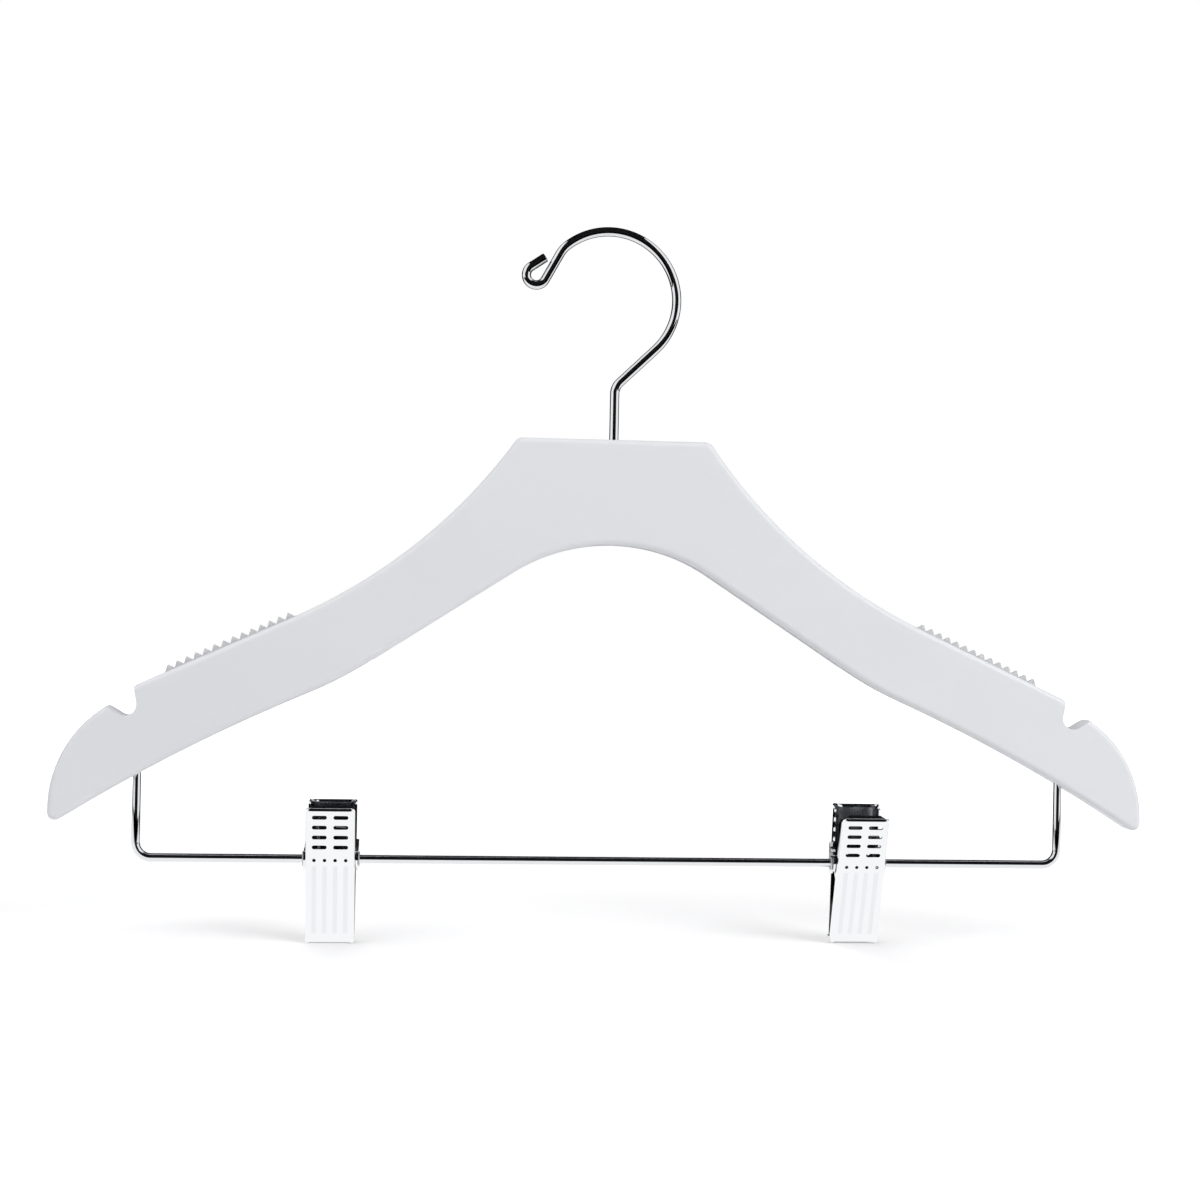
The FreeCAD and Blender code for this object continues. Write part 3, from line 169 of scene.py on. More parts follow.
# Bush and washer: a ridged white nylon sleeve pressed into the bore, and a plated steel washer
# under it. Both sit inside the body, so only the bush's top rim can be seen round the shank.
nylon, place = new_finish("moulded_nylon")
cloud = noise(place, 0.004)
surface(
    place,
    {
        "Base Color": blend_colour(place, cloud, (0.78, 0.78, 0.76, 1), (0.84, 0.84, 0.82, 1)),
        "Roughness": 0.42 + 0.1 * noise(place, 0.001),
    },
)
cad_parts["hook_bush"].data.materials[0] = nylon
zinc, place = new_finish("zinc_plate")
cloud = noise(place, 0.002)
surface(
    place,
    {
        "Base Color": blend_colour(place, cloud, (0.56, 0.57, 0.59, 1), (0.68, 0.69, 0.7, 1)),
        "Metallic": 1.0,
        "Roughness": 0.22 + 0.16 * noise(place, 0.0015),
    },
)
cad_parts["hook_washer"].data.materials[0] = zinc


# Hook: one length of steel wire, bent cold round formers and then chrome plated. The curled end
# keeps sleeves from catching, and the upset head under the washer holds the hook in the body.
class Walk:
    """Moves the selected vertices through an upright plane: runs are extruded and bends are spun."""

    def __init__(self, place, heading):
        self.place = place
        self.heading = math.radians(heading)

    def line_to(self, target):
        step = target - self.place
        bpy.ops.mesh.extrude_region_move(TRANSFORM_OT_translate={"value": (step.real, 0, step.imag)})
        self.place = target

    def forward(self, length):
        self.line_to(self.place + cmath.rect(length, self.heading))

    def bend(self, radius, degrees, steps):
        """A bend to the left where the angle is positive."""
        turn = math.radians(degrees)
        quarter = math.copysign(math.pi / 2, turn)
        centre = self.place + cmath.rect(radius, self.heading + quarter)
        bpy.ops.mesh.spin(
            steps=steps, angle=turn, center=(centre.real, 0, centre.imag), axis=(0, 1, 0)
        )
        self.heading += turn
        self.place = centre + cmath.rect(radius, self.heading - quarter)


def start_ring(name, radius, place, sides=32):
    """Opens a new piece in edit mode: a level ring of vertices at a place in the upright plane."""
    bpy.ops.object.select_all(action="DESELECT")
    bpy.ops.mesh.primitive_circle_add(
        vertices=sides, radius=radius, location=(place.real, 0, place.imag)
    )
    piece = bpy.context.object
    piece.name = name
    bpy.ops.object.transform_apply(location=True)
    bpy.ops.object.mode_set(mode="EDIT")
    bpy.ops.mesh.select_all(action="SELECT")
    return piece


def pick(test):
    """Selects the vertices of the piece on the bench whose place passes a test."""
    bpy.ops.mesh.select_all(action="DESELECT")
    mesh = bmesh.from_edit_mesh(bpy.context.object.data)
    for vertex in mesh.verts:
        vertex.select = test(vertex.co)
    mesh.select_flush(True)
    bmesh.update_edit_mesh(bpy.context.object.data)


def close_end(chamfer):
    """Caps the selected ring and breaks its edge."""
    bpy.ops.mesh.edge_face_add()
    bpy.ops.mesh.bevel(offset=chamfer, segments=2, affect="EDGES")


def leave_bench(smooth_angle=40):
    """Back to object mode, with outward normals and smooth shading between gentle angles."""
    bpy.ops.mesh.select_all(action="SELECT")
    bpy.ops.mesh.normals_make_consistent(inside=False)
    bpy.ops.object.mode_set(mode="OBJECT")
    bpy.ops.object.shade_smooth_by_angle(angle=math.radians(smooth_angle))


def settle(piece, body, node, finish=None):
    """Gives a piece its finish if it has none, and lets it stand for a CAD node on a body."""
    if finish:
        piece.data.materials.append(finish)
    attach(piece, body)
    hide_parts(node)


chrome, place = new_finish("wire_chrome")
cloud = noise(place, 0.02)
ripple = noise(place, 0.012, detail=1.0)
surface(
    place,
    {
        "Base Color": blend_colour(place, cloud, (0.77, 0.78, 0.8, 1), (0.83, 0.84, 0.855, 1)),
        "Metallic": 1.0,
        "Roughness": 0.035 + 0.05 * noise(place, 0.006),
        "Normal": bump(place, 0.1, 0.0004, ripple),
    },
)
tiny = 0.00002
hook_wire = 0.0038
head_radius = 0.0029
head_thickness = 0.0016
tip_chamfer = 0.0002
hook_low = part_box("hook")[0]
middle = sum(corner.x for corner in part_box("trouser_bar")) / 2
top_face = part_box("left_arm")[1].z
bend_height = 0.0193
bend_radius = 0.0065
rise_angle = 44.0
rise_length = 0.02
bow_radius = 0.0279
nose_drop = 0.0063
nose_radius = 0.012
run_angle = 61.3
run_length = 0.0125
curl_radius = 0.00405
tip_angle = 34.3
tip_length = 0.0072
bend_steps = 14
bow_steps = 72
nose_steps = 12
curl_steps = 48
bow_end = 180 + math.degrees(math.acos(1 - nose_drop / bow_radius))
run_heading = 180 + run_angle

foot = complex(middle, hook_low.z)
hook = start_ring("wire_hook", head_radius, foot)
walk = Walk(foot, 90)
walk.forward(head_thickness)
bpy.ops.mesh.extrude_region_move()
narrow = hook_wire / 2 / head_radius
bpy.ops.transform.resize(value=(narrow, narrow, 1), center_override=(middle, 0, walk.place.imag))
walk.line_to(complex(middle, top_face + bend_height))
walk.bend(bend_radius, rise_angle - 90, bend_steps)
walk.forward(rise_length)
walk.bend(bow_radius, bow_end - rise_angle, bow_steps)
walk.bend(nose_radius, run_heading - bow_end, nose_steps)
walk.forward(run_length)
walk.bend(curl_radius, tip_angle - run_heading, curl_steps)
walk.forward(tip_length)
close_end(tip_chamfer)
pick(lambda spot: spot.z < hook_low.z + tiny)
close_end(tip_chamfer)
leave_bench()
settle(hook, "hook", "hook", chrome)


# Trouser bar: a thinner chrome wire with a leg bent up at each end. The legs are driven into
# blind holes in the underside of the arms, and the straight part carries the clips.
bar_wire = 0.0033
bar_bend_radius = 0.0062
bar_bend_steps = 16
bar_low, bar_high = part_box("trouser_bar")
leg_left = bar_low.x + bar_wire / 2
leg_right = bar_high.x - bar_wire / 2
bar_level = bar_low.z + bar_wire / 2
leg_length = bar_high.z - bar_level - bar_bend_radius
leg_chamfer = 0.0003

leg_top = complex(leg_left, bar_high.z)
bar = start_ring("wire_trouser_bar", bar_wire / 2, leg_top)
walk = Walk(leg_top, -90)
walk.forward(leg_length)
walk.bend(bar_bend_radius, 90, bar_bend_steps)
walk.forward(leg_right - leg_left - 2 * bar_bend_radius)
walk.bend(bar_bend_radius, 90, bar_bend_steps)
walk.forward(leg_length)
close_end(leg_chamfer)
pick(lambda spot: spot.z > bar_high.z - tiny and spot.x < middle)
close_end(leg_chamfer)
leave_bench()
settle(bar, "hanger", "trouser_bar", chrome)


# Grip strips: soft ribbed rubber, moulded pale and slightly clear, pressed into a groove on top
# of each shoulder. The teeth keep straps and collars from sliding.
def slice_at(axis, places):
    """Cuts the piece on the bench at places along an axis, and keeps both sides."""
    for cut in places:
        bpy.ops.mesh.select_all(action="SELECT")
        bpy.ops.mesh.bisect(plane_co=axis * cut, plane_no=axis)


def apply_modifier(piece, kind, **settings):
    """Adds a modifier and applies it."""
    bpy.context.view_layer.objects.active = piece
    step = piece.modifiers.new(kind.lower(), kind)
    for name, setting in settings.items():
        setattr(step, name, setting)
    bpy.ops.object.modifier_apply(modifier=step.name)


def round_edges(piece, width, least_angle, smooth_angle):
    """Rounds the edges that are sharper than an angle, and smooths the shading again."""
    limit = math.radians(least_angle)
    apply_modifier(piece, "BEVEL", width=width, segments=2, limit_method="ANGLE", angle_limit=limit)
    bpy.ops.object.shade_smooth_by_angle(angle=math.radians(smooth_angle))


def seat_copy(source, name, seat):
    """A copy of a piece with a mesh of its own, set in its seat."""
    bpy.ops.object.select_all(action="DESELECT")
    source.select_set(True)
    bpy.context.view_layer.objects.active = source
    bpy.ops.object.duplicate()
    copy = bpy.context.object
    copy.name = name
    copy.matrix_world = seat
    bpy.ops.object.transform_apply(location=True, rotation=True, scale=True)
    return copy


across_axis = Vector((1, 0, 0))
up_axis = Vector((0, 0, 1))
strip_width = 0.0028
strip_base = 0.0032
tooth_count = 14
tooth_pitch = 0.004
tooth_height = 0.0023
tooth_flat = 0.00015
end_land = 0.0008
strip_edge = 0.00004
strip_smooth = 25
shoulder_angle = math.radians(24.6)
strip_length = tooth_count * tooth_pitch + 2 * end_land

rubber, place = new_finish("strip_rubber")
dust = noise(place, 0.0006, detail=3.0)
surface(
    place,
    {
        "Base Color": blend_colour(place, dust, (0.57, 0.57, 0.585, 1), (0.64, 0.64, 0.66, 1)),
        "Roughness": 0.38 + 0.2 * noise(place, 0.002),
        "Subsurface Weight": 0.25,
        "Subsurface Radius": (0.002, 0.002, 0.002),
        "Subsurface Scale": 1.0,
        "Normal": bump(place, 0.2, 0.0001, dust),
    },
)
bpy.ops.object.select_all(action="DESELECT")
bpy.ops.mesh.primitive_cube_add(size=1, location=(strip_length / 2, 0, strip_base / 2))
strip = bpy.context.object
strip.scale = (strip_length, strip_width, strip_base)
bpy.ops.object.transform_apply(location=True, scale=True)
bpy.ops.object.mode_set(mode="EDIT")
valleys = [end_land + tooth_pitch * tooth for tooth in range(tooth_count + 1)]
crests = []
for valley in valleys[:-1]:
    crests.append(valley + (tooth_pitch - tooth_flat) / 2)
    crests.append(valley + (tooth_pitch + tooth_flat) / 2)
slice_at(across_axis, valleys + crests)
near = tooth_flat / 4
pick(lambda spot: spot.z > strip_base - near and min(abs(spot.x - crest) for crest in crests) < near)
bpy.ops.transform.translate(value=(0, 0, tooth_height))
leave_bench(strip_smooth)
round_edges(strip, strip_edge, 30, strip_smooth)
about_face = Matrix.Rotation(math.pi, 4, "Z")
down_slope = Matrix.Rotation(shoulder_angle, 4, "Y")
for side in ("left", "right"):
    node = side + "_grip_strip"
    low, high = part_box(node)
    upper_end = low.z + strip_length * math.sin(shoulder_angle)
    if side == "right":
        seat = Matrix.Translation((low.x, 0, upper_end)) @ down_slope
    else:
        seat = Matrix.Translation((high.x, 0, upper_end)) @ about_face @ down_slope
    settle(seat_copy(strip, side + "_rubber_strip", seat), "hanger", node, rubber)
bpy.data.objects.remove(strip)


# Clip jaws: each clip is two pressings of chromed sheet steel, hinged on a tube round the bar.
# Ribs are embossed below a row of pierced holes, and every edge is folded in to stiffen it.
def start_pen(place):
    """Opens a new piece in edit mode: one vertex at a place in the upright plane."""
    bpy.ops.object.select_all(action="DESELECT")
    bpy.ops.mesh.primitive_plane_add(size=0.001, location=(place.real, 0, place.imag))
    piece = bpy.context.object
    bpy.ops.object.transform_apply(location=True)
    bpy.ops.object.mode_set(mode="EDIT")
    bpy.ops.mesh.select_all(action="SELECT")
    bpy.ops.mesh.merge(type="CENTER")
    return piece


def weld(distance=1e-7):
    """Selects the piece on the bench and joins its vertices that lie in one place."""
    bpy.ops.mesh.select_all(action="SELECT")
    bpy.ops.mesh.remove_doubles(threshold=distance)


def thicken_outline(thickness):
    """Closes the drawn outline to a face, and extrudes it about the upright plane."""
    weld()
    bpy.ops.mesh.edge_face_add()
    bpy.ops.transform.translate(value=(0, -thickness / 2, 0))
    bpy.ops.mesh.extrude_region_move(TRANSFORM_OT_translate={"value": (0, thickness, 0)})
    leave_bench()


def punch_tool(radius, depth, along, stretch):
    """A round punch along an axis, drawn out to a slot by a stretch."""
    bpy.ops.object.select_all(action="DESELECT")
    turn = up_axis.rotation_difference(along).to_euler()
    bpy.ops.mesh.primitive_cylinder_add(vertices=32, radius=radius, depth=depth, rotation=turn)
    tool = bpy.context.object
    bpy.ops.object.transform_apply(rotation=True)
    bpy.ops.object.mode_set(mode="EDIT")
    pick(lambda spot: spot.dot(stretch) > 0)
    bpy.ops.transform.translate(value=stretch)
    bpy.ops.object.mode_set(mode="OBJECT")
    return tool


def work(piece, tool, operation):
    """Cuts a piece with a tool or joins the two, and puts the tool away."""
    apply_modifier(piece, "BOOLEAN", object=tool, operation=operation, solver="EXACT")
    bpy.data.objects.remove(tool)


gauge = 0.0008
jaw_half = 0.0098
lever_length = 0.0227
mouth_length = 0.0341
lever_turn = math.radians(5.8)
mouth_turn = math.radians(7.4)
bend_depth = 0.008
fold_round = 0.0012
corner_relief = 0.0018
corner_round = 0.0009
lever_flange = 0.004
mouth_flange = 0.003
lip_root = 0.0086
lip_end = 0.0066
lever_lip = 0.004
mouth_lip = 0.0022
hole_pitch = 0.0042
hole_radius = 0.0007
hole_level = 0.00115
hole_count = 4
hole_places = [(hole - (hole_count - 1) / 2) * hole_pitch for hole in range(hole_count)]
rib_steps = ((0.00105, 0.0), (0.00068, 0.6), (0.00026, 1.0))
rib_height = 0.0004
rib_top = -0.0006
rib_end = 0.0037
rib_foot = rib_end - mouth_length
rib_slope = 0.0012
slot_length = 0.0059
slot_radius = 0.0008
slot_bridge = 0.0026
slot_start = 0.0066
slot_pitch = 0.00412
slot_columns = 2
slot_rows = 4
ear_radius = 0.0044
ear_reach = 0.0066
ear_root = 25
ear_steps = 36
ear_gap = 0.00025
bore_radius = 0.00227
bore_depth = 4 * jaw_half
punch_depth = 4 * gauge
fold_angle = 60
jaw_smooth = 40
back_axis = Vector((0, 1, 0))

# The ribs get painted shade, a bluish darker colour, and a little more roughness; they are found by
# their pitch across the flat sheet
outer_rib = 2
rib_fringe = 0.02
rib_fade = 1.1 * rib_steps[0][0]
whole_pitches = 8
plate, place = new_finish("clip_chrome")
sheet = place.node("ShaderNodeTexCoord", output="UV")
sheet_across = place.node("ShaderNodeSeparateXYZ", None, {"Vector": sheet}, output="X")
sheet_up = place.node("ShaderNodeSeparateXYZ", None, {"Vector": sheet}, output="Y")
sheet_height = lever_length + mouth_length
pitches = (sheet_across - 0.5) * (2 * jaw_half / hole_pitch)
level = sheet_up * sheet_height - mouth_length
from_rib = abs(place.node("ShaderNodeMath", {"operation": "FRACT"}, {0: pitches + whole_pitches}) - 0.5)
on_rib = from_rib.ramp(rib_fade / hole_pitch, rib_steps[1][0] / hole_pitch)
on_mouth = level.ramp(rib_top, rib_top - rib_slope)
above_foot = level.ramp(rib_foot, rib_foot + rib_slope)
within = abs(pitches).ramp(outer_rib + rib_fringe, outer_rib - rib_fringe)
painted_rib_shade = on_rib * on_mouth * above_foot * within
bright = blend_colour(place, noise(place, 0.01), (0.9, 0.915, 0.93, 1), (0.95, 0.955, 0.96, 1))
ripple = noise(place, 0.006, detail=1.0)
surface(
    place,
    {
        # The bluish darker colour on the ribs is painted shade
        "Base Color": blend_colour(place, painted_rib_shade, bright, (0.86, 0.88, 0.91, 1)),
        "Metallic": 1.0,
        "Roughness": 0.05 + 0.06 * noise(place, 0.003) + 0.08 * painted_rib_shade,
        "Normal": bump(place, 0.12, 0.0003, ripple),
    },
)

# Inside, the plate is painted dark as shade, darkest towards the bend, with some noise stain
dark_reach = 0.008
inner_painted_shade, place = new_finish("shaded_inner_plate")
stain = noise(place, 0.004, detail=3.0)
sheet = place.node("ShaderNodeTexCoord", output="UV")
sheet_up = place.node("ShaderNodeSeparateXYZ", None, {"Vector": sheet}, output="Y")
painted_shade_fade = (sheet_up * sheet_height - mouth_length).ramp(dark_reach, lever_length)
painted_shade_and_stain = painted_shade_fade * (0.6 + 0.4 * stain)
surface(
    place,
    {
        "Base Color": blend_colour(place, painted_shade_and_stain, (0.06, 0.065, 0.075, 1), (0.4, 0.42, 0.46, 1)),
        "Metallic": 1.0,
        "Roughness": 0.16 + 0.16 * noise(place, 0.002),
    },
)
bpy.ops.object.select_all(action="DESELECT")
bpy.ops.mesh.primitive_plane_add(
    size=1, location=(0, 0, (lever_length - mouth_length) / 2), rotation=(math.pi / 2, 0, 0)
)
blank = bpy.context.object
blank.scale = (2 * jaw_half, sheet_height, 1)
bpy.ops.object.transform_apply(location=True, rotation=True, scale=True)
bpy.ops.object.mode_set(mode="EDIT")
rib_lines = []
for centre in hole_places:
    for offset, share in rib_steps:
        rib_lines += [centre - offset, centre + offset]
slice_at(across_axis, [-lip_root, lip_root] + rib_lines)
flange_top = lever_length - corner_relief
flange_foot = corner_relief - mouth_length
rib_full_top = rib_top - rib_slope
rib_full_foot = rib_foot + rib_slope
slice_at(up_axis, [flange_top, 0, rib_top, rib_full_top, rib_full_foot, rib_foot, flange_foot])
for offset, share in rib_steps:
    pick(
        lambda spot: rib_full_foot - tiny < spot.z < rib_full_top + tiny
        and min(abs(abs(spot.x - centre) - offset) for centre in hole_places) < tiny
    )
    bpy.ops.transform.translate(value=(0, -rib_height * share, 0))

# The corners are rounded, then the flanges and the lips are drawn out square to the sheet
pick(lambda spot: abs(spot.x) > jaw_half - tiny and not flange_foot - tiny < spot.z < flange_top + tiny)
bpy.ops.mesh.bevel(offset=corner_round, segments=4, affect="VERTICES")
pick(lambda spot: abs(spot.x) > jaw_half - tiny and flange_foot - tiny < spot.z < flange_top + tiny)
bpy.ops.mesh.extrude_region_move(TRANSFORM_OT_translate={"value": (0, lever_flange, 0)})
pick(lambda spot: spot.y > tiny and spot.z < -tiny)
bpy.ops.transform.translate(value=(0, mouth_flange - lever_flange, 0))
for edge, reach in ((lever_length, lever_lip), (-mouth_length, mouth_lip)):
    pick(lambda spot: abs(spot.z - edge) < tiny and abs(spot.x) < lip_root + tiny)
    bpy.ops.mesh.extrude_region_move(TRANSFORM_OT_translate={"value": (0, reach, 0)})
    bpy.ops.transform.resize(value=(lip_end / lip_root, 1, 1), center_override=(0, 0, 0))

# The sheet is bent between lever and mouth, its folds are rounded, and it gets its gauge
pick(lambda spot: spot.z > tiny)
bpy.ops.transform.rotate(value=-lever_turn, orient_axis="X", center_override=(0, 0, 0))
pick(lambda spot: spot.z < -tiny)
bpy.ops.transform.rotate(value=-mouth_turn, orient_axis="X", center_override=(0, 0, 0))
bpy.ops.mesh.select_all(action="SELECT")
bpy.ops.transform.translate(value=(0, -bend_depth, 0))
bpy.ops.mesh.normals_make_consistent(inside=False)
bpy.ops.mesh.select_all(action="DESELECT")
bpy.ops.mesh.select_mode(type="EDGE")
bpy.ops.mesh.edges_select_sharp(sharpness=math.radians(fold_angle))
bpy.ops.mesh.bevel(offset=fold_round, segments=4, affect="EDGES")
bpy.ops.mesh.select_mode(type="VERT")
bpy.ops.object.mode_set(mode="OBJECT")
blank.data.materials.append(plate)
# The inner faces take the material with the painted shade
blank.data.materials.append(inner_painted_shade)
apply_modifier(
    blank, "SOLIDIFY", thickness=gauge, offset=-1, use_even_offset=True, material_offset=1
)

# The ears go round the tube, those of the rear jaw stepped out past those of the front jaw
ear_top = complex(-bend_depth, 0) + cmath.rect(ear_reach, math.pi / 2 + lever_turn)
ear_top += cmath.rect(lever_flange / 2, lever_turn)
ear_foot = complex(-bend_depth, 0) + cmath.rect(ear_reach, mouth_turn - math.pi / 2)
ear_foot += cmath.rect(lever_flange / 2, mouth_turn)
quarter_turn = Matrix.Rotation(math.pi / 2, 4, "Z")
ear_step = jaw_half + ear_gap
room_radius = ear_radius + ear_gap
jaws = {}
for kind, inner, outer in (
    ("front", jaw_half - gauge + tiny, jaw_half - tiny),
    ("rear", jaw_half - gauge + tiny, ear_step + gauge),
):
    jaw = seat_copy(blank, kind + "_jaw", Matrix())
    ear = start_pen(ear_top)
    walk = Walk(ear_top, ear_root)
    walk.line_to(cmath.rect(ear_radius, math.radians(90 + ear_root)))
    walk.bend(ear_radius, -180 - 2 * ear_root, ear_steps)
    walk.line_to(ear_foot)
    walk.line_to(ear_top)
    thicken_outline(outer - inner)
    for side in (-1, 1):
        seat = Matrix.Translation((side * (inner + outer) / 2, 0, 0)) @ quarter_turn
        half = seat_copy(ear, "ear", seat)
        if kind == "rear":
            room = punch_tool(room_radius, 2 * ear_step, across_axis, Vector((0, 2 * room_radius, 0)))
            work(half, room, "DIFFERENCE")
        work(jaw, half, "UNION")
    bpy.data.objects.remove(ear)
    work(jaw, punch_tool(bore_radius, bore_depth, across_axis, Vector()), "DIFFERENCE")

    # Holes are pierced square to the lever, and on the front jaw rows of finger slots above them
    lever_face = Matrix.Translation((0, -bend_depth, 0)) @ Matrix.Rotation(lever_turn, 4, "X")
    hole = punch_tool(hole_radius, punch_depth, back_axis, Vector())
    hole.matrix_world = lever_face @ Matrix.Translation((hole_places[0], 0, hole_level))
    tools = [(hole, hole_pitch, hole_count, 1)]
    if kind == "front":
        draw = Vector((slot_length - 2 * slot_radius, 0, 0))
        slot = punch_tool(slot_radius, punch_depth, back_axis, draw)
        first = slot_radius - slot_bridge / 2 - slot_length
        slot.matrix_world = lever_face @ Matrix.Translation((first, 0, slot_start))
        tools.append((slot, slot_length + slot_bridge, slot_columns, slot_rows))
    for tool, step, columns, rows in tools:
        for count, offset in ((columns, (step, 0, 0)), (rows, (0, 0, slot_pitch))):
            apply_modifier(
                tool,
                "ARRAY",
                count=count,
                use_relative_offset=False,
                use_constant_offset=True,
                constant_offset_displace=offset,
            )
        work(jaw, tool, "DIFFERENCE")
    bpy.ops.object.select_all(action="DESELECT")
    jaw.select_set(True)
    bpy.context.view_layer.objects.active = jaw
    bpy.ops.object.shade_smooth_by_angle(angle=math.radians(jaw_smooth))
    jaws[kind] = jaw
bpy.data.objects.remove(blank)

clip_leans = {"left": math.radians(5.2), "right": math.radians(13)}
clip_seats = {}
for side, lean in clip_leans.items():
    tube_low, tube_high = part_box(side + "_pivot_tube")
    spot = Vector(((tube_low.x + tube_high.x) / 2, 0, bar_level))
    seat = Matrix.Translation(spot) @ Matrix.Rotation(lean, 4, "X")
    clip_seats[side, "front"] = seat
    clip_seats[side, "rear"] = seat @ about_face
    for kind in ("front", "rear"):
        pressing = seat_copy(jaws[kind], f"{side}_{kind}_pressing", clip_seats[side, kind])
        settle(pressing, f"{side}_clip_{kind}", f"{side}_{kind}_jaw")
for jaw in jaws.values():
    bpy.data.objects.remove(jaw)


# Gripping pads: wedges of dark moulded rubber glued into the tips of the jaws. Ribs across the
# faces where two pads meet hold the cloth.
pad_height = 0.015
pad_gap = 0.0003
pad_side_gap = 0.00015
pad_bevel = 0.0015
pad_edge = 0.00018
pad_ribs = 5
pad_rib_depth = 0.0005
pad_width = 2 * (jaw_half - gauge - pad_side_gap)
mouth_way = cmath.rect(1, mouth_turn - math.pi / 2)
inward_way = cmath.rect(1, mouth_turn)
pad_seat = mouth_length - gauge
pad_depth = (bend_depth - pad_gap / 2 - pad_seat * math.sin(mouth_turn)) / math.cos(mouth_turn)
back_low = mouth_way * pad_seat + inward_way * gauge - bend_depth
back_high = mouth_way * (pad_seat - pad_height) + inward_way * gauge - bend_depth
front_low = mouth_way * pad_seat + inward_way * pad_depth - bend_depth
grip_top = back_high.imag - pad_bevel
grip_height = grip_top - front_low.imag

dark_rubber, place = new_finish("pad_rubber")
dust = noise(place, 0.0008, detail=3.0)
surface(
    place,
    {
        "Base Color": blend_colour(place, dust, (0.028, 0.028, 0.03, 1), (0.05, 0.05, 0.053, 1)),
        "Roughness": 0.55 + 0.2 * noise(place, 0.002),
        "Normal": bump(place, 0.3, 0.0001, dust),
    },
)
wedge = start_pen(back_low)
walk = Walk(back_low, 90)
walk.line_to(back_high)
for rib in range(pad_ribs):
    walk.line_to(complex(-pad_gap / 2, grip_top - rib / pad_ribs * grip_height))
    walk.line_to(complex(-pad_gap / 2 - pad_rib_depth, grip_top - (rib + 0.5) / pad_ribs * grip_height))
walk.line_to(front_low)
walk.line_to(back_low)
thicken_outline(pad_width)
round_edges(wedge, pad_edge, 15, 40)
for (side, kind), seat in clip_seats.items():
    grip = seat_copy(wedge, f"{side}_{kind}_gripping_pad", seat @ quarter_turn)
    settle(grip, f"{side}_clip_{kind}", f"{side}_{kind}_pad", dark_rubber)
bpy.data.objects.remove(wedge)


# Pivot tubes: a short steel sleeve on the bar under each clip, with its ends flared over the
# ears of the jaws. The clip swings on it and slides along the bar with it.
tube_bore = 0.00174
tube_radius = 0.00219
flare_radius = 0.00299
flare_face = 0.011
tube_end = 0.01145
flare_bevel = 0.0002
tube_sides = 48

sleeve = start_pen(complex(-tube_end, tube_bore))
walk = Walk(complex(-tube_end, tube_bore), 0)
for corner in (
    complex(tube_end, tube_bore),
    complex(tube_end, flare_radius),
    complex(flare_face, flare_radius),
    complex(flare_face, tube_radius),
    complex(-flare_face, tube_radius),
    complex(-flare_face, flare_radius),
    complex(-tube_end, flare_radius),
    complex(-tube_end, tube_bore),
):
    walk.line_to(corner)
weld()
bpy.ops.mesh.select_all(action="SELECT")
bpy.ops.mesh.spin(steps=tube_sides, angle=2 * math.pi, center=(0, 0, 0), axis=(1, 0, 0))
weld()
leave_bench()
round_edges(sleeve, flare_bevel, 50, 50)
for side in clip_leans:
    tube = seat_copy(sleeve, side + "_flared_tube", clip_seats[side, "front"])
    settle(tube, side + "_clip_pivot", side + "_pivot_tube", zinc)
bpy.data.objects.remove(sleeve)


# Springs: five turns of hard drawn wire round each tube. A leg lies inside each lever and ends
# in a foot bent across it, so the spring holds the mouth shut.
spring_wire = 0.0013
coil_radius = 0.00319
coil_turns = 5
coil_pitch = 0.0018
spring_leg = 0.0165
leg_gap = 0.0001
foot_radius = 0.0017
foot_length = 0.0024
turn_steps = 28
foot_steps = 6
leg_distance = bend_depth * math.cos(lever_turn) - gauge - spring_wire / 2 - leg_gap
leg_slope = math.asin(leg_distance / math.hypot(coil_radius, spring_leg))
leg_lean = lever_turn + leg_slope - math.atan2(coil_radius, spring_leg)
winding = 2 * math.pi * coil_turns + math.pi - 2 * leg_lean
climb = coil_pitch / (2 * math.pi)

# The spring wire is painted dark: painted shade for the inside of the clip, where it shows through the
# slots
shaded_spring_steel, place = new_finish("spring_steel")
drawn = noise(place, 0.0012, detail=2.0)
surface(
    place,
    {
        "Base Color": blend_colour(place, drawn, (0.15, 0.155, 0.17, 1), (0.24, 0.245, 0.26, 1)),
        "Metallic": 1.0,
        "Roughness": 0.14 + 0.14 * noise(place, 0.0008),
    },
)


def coil_point(turn):
    """Place and direction on the coil after a turn from the rear leg."""
    angle = -leg_lean - turn
    spot = (climb * (turn - winding / 2), coil_radius * math.cos(angle), coil_radius * math.sin(angle))
    way = Vector((climb, coil_radius * math.sin(angle), -coil_radius * math.cos(angle)))
    return Vector(spot), way.normalized()


def leg_points(turn, sense):
    """Places along a leg and its foot, from the coil outwards."""
    root, way = coil_point(turn)
    outward = way * sense
    inward = Vector((-sense, 0, 0))
    square = (inward - outward * inward.dot(outward)).normalized()
    centre = root + outward * (spring_leg - foot_radius) + square * foot_radius
    places = []
    for step in range(foot_steps + 1):
        angle = math.pi / 2 * step / foot_steps
        places.append(centre + (outward * math.sin(angle) - square * math.cos(angle)) * foot_radius)
    places.append(places[-1] + square * foot_length)
    return places


coil_steps = round(turn_steps * winding / (2 * math.pi))
wire_line = leg_points(0, -1)[::-1]
for step in range(coil_steps + 1):
    wire_line.append(coil_point(winding * step / coil_steps)[0])
wire_line += leg_points(winding, 1)
path = bpy.data.curves.new("clip_spring", "CURVE")
path.dimensions = "3D"
path.bevel_depth = spring_wire / 2
path.bevel_resolution = 4
path.use_fill_caps = True
line = path.splines.new("POLY")
line.points.add(len(wire_line) - 1)
for point, spot in zip(line.points, wire_line):
    point.co = (*spot, 1)
coil = bpy.data.objects.new("clip_spring", path)
bpy.context.scene.collection.objects.link(coil)
bpy.ops.object.select_all(action="DESELECT")
coil.select_set(True)
bpy.context.view_layer.objects.active = coil
bpy.ops.object.convert(target="MESH")
coil = bpy.context.object
bpy.ops.object.mode_set(mode="EDIT")
weld()
leave_bench(smooth_angle=60)
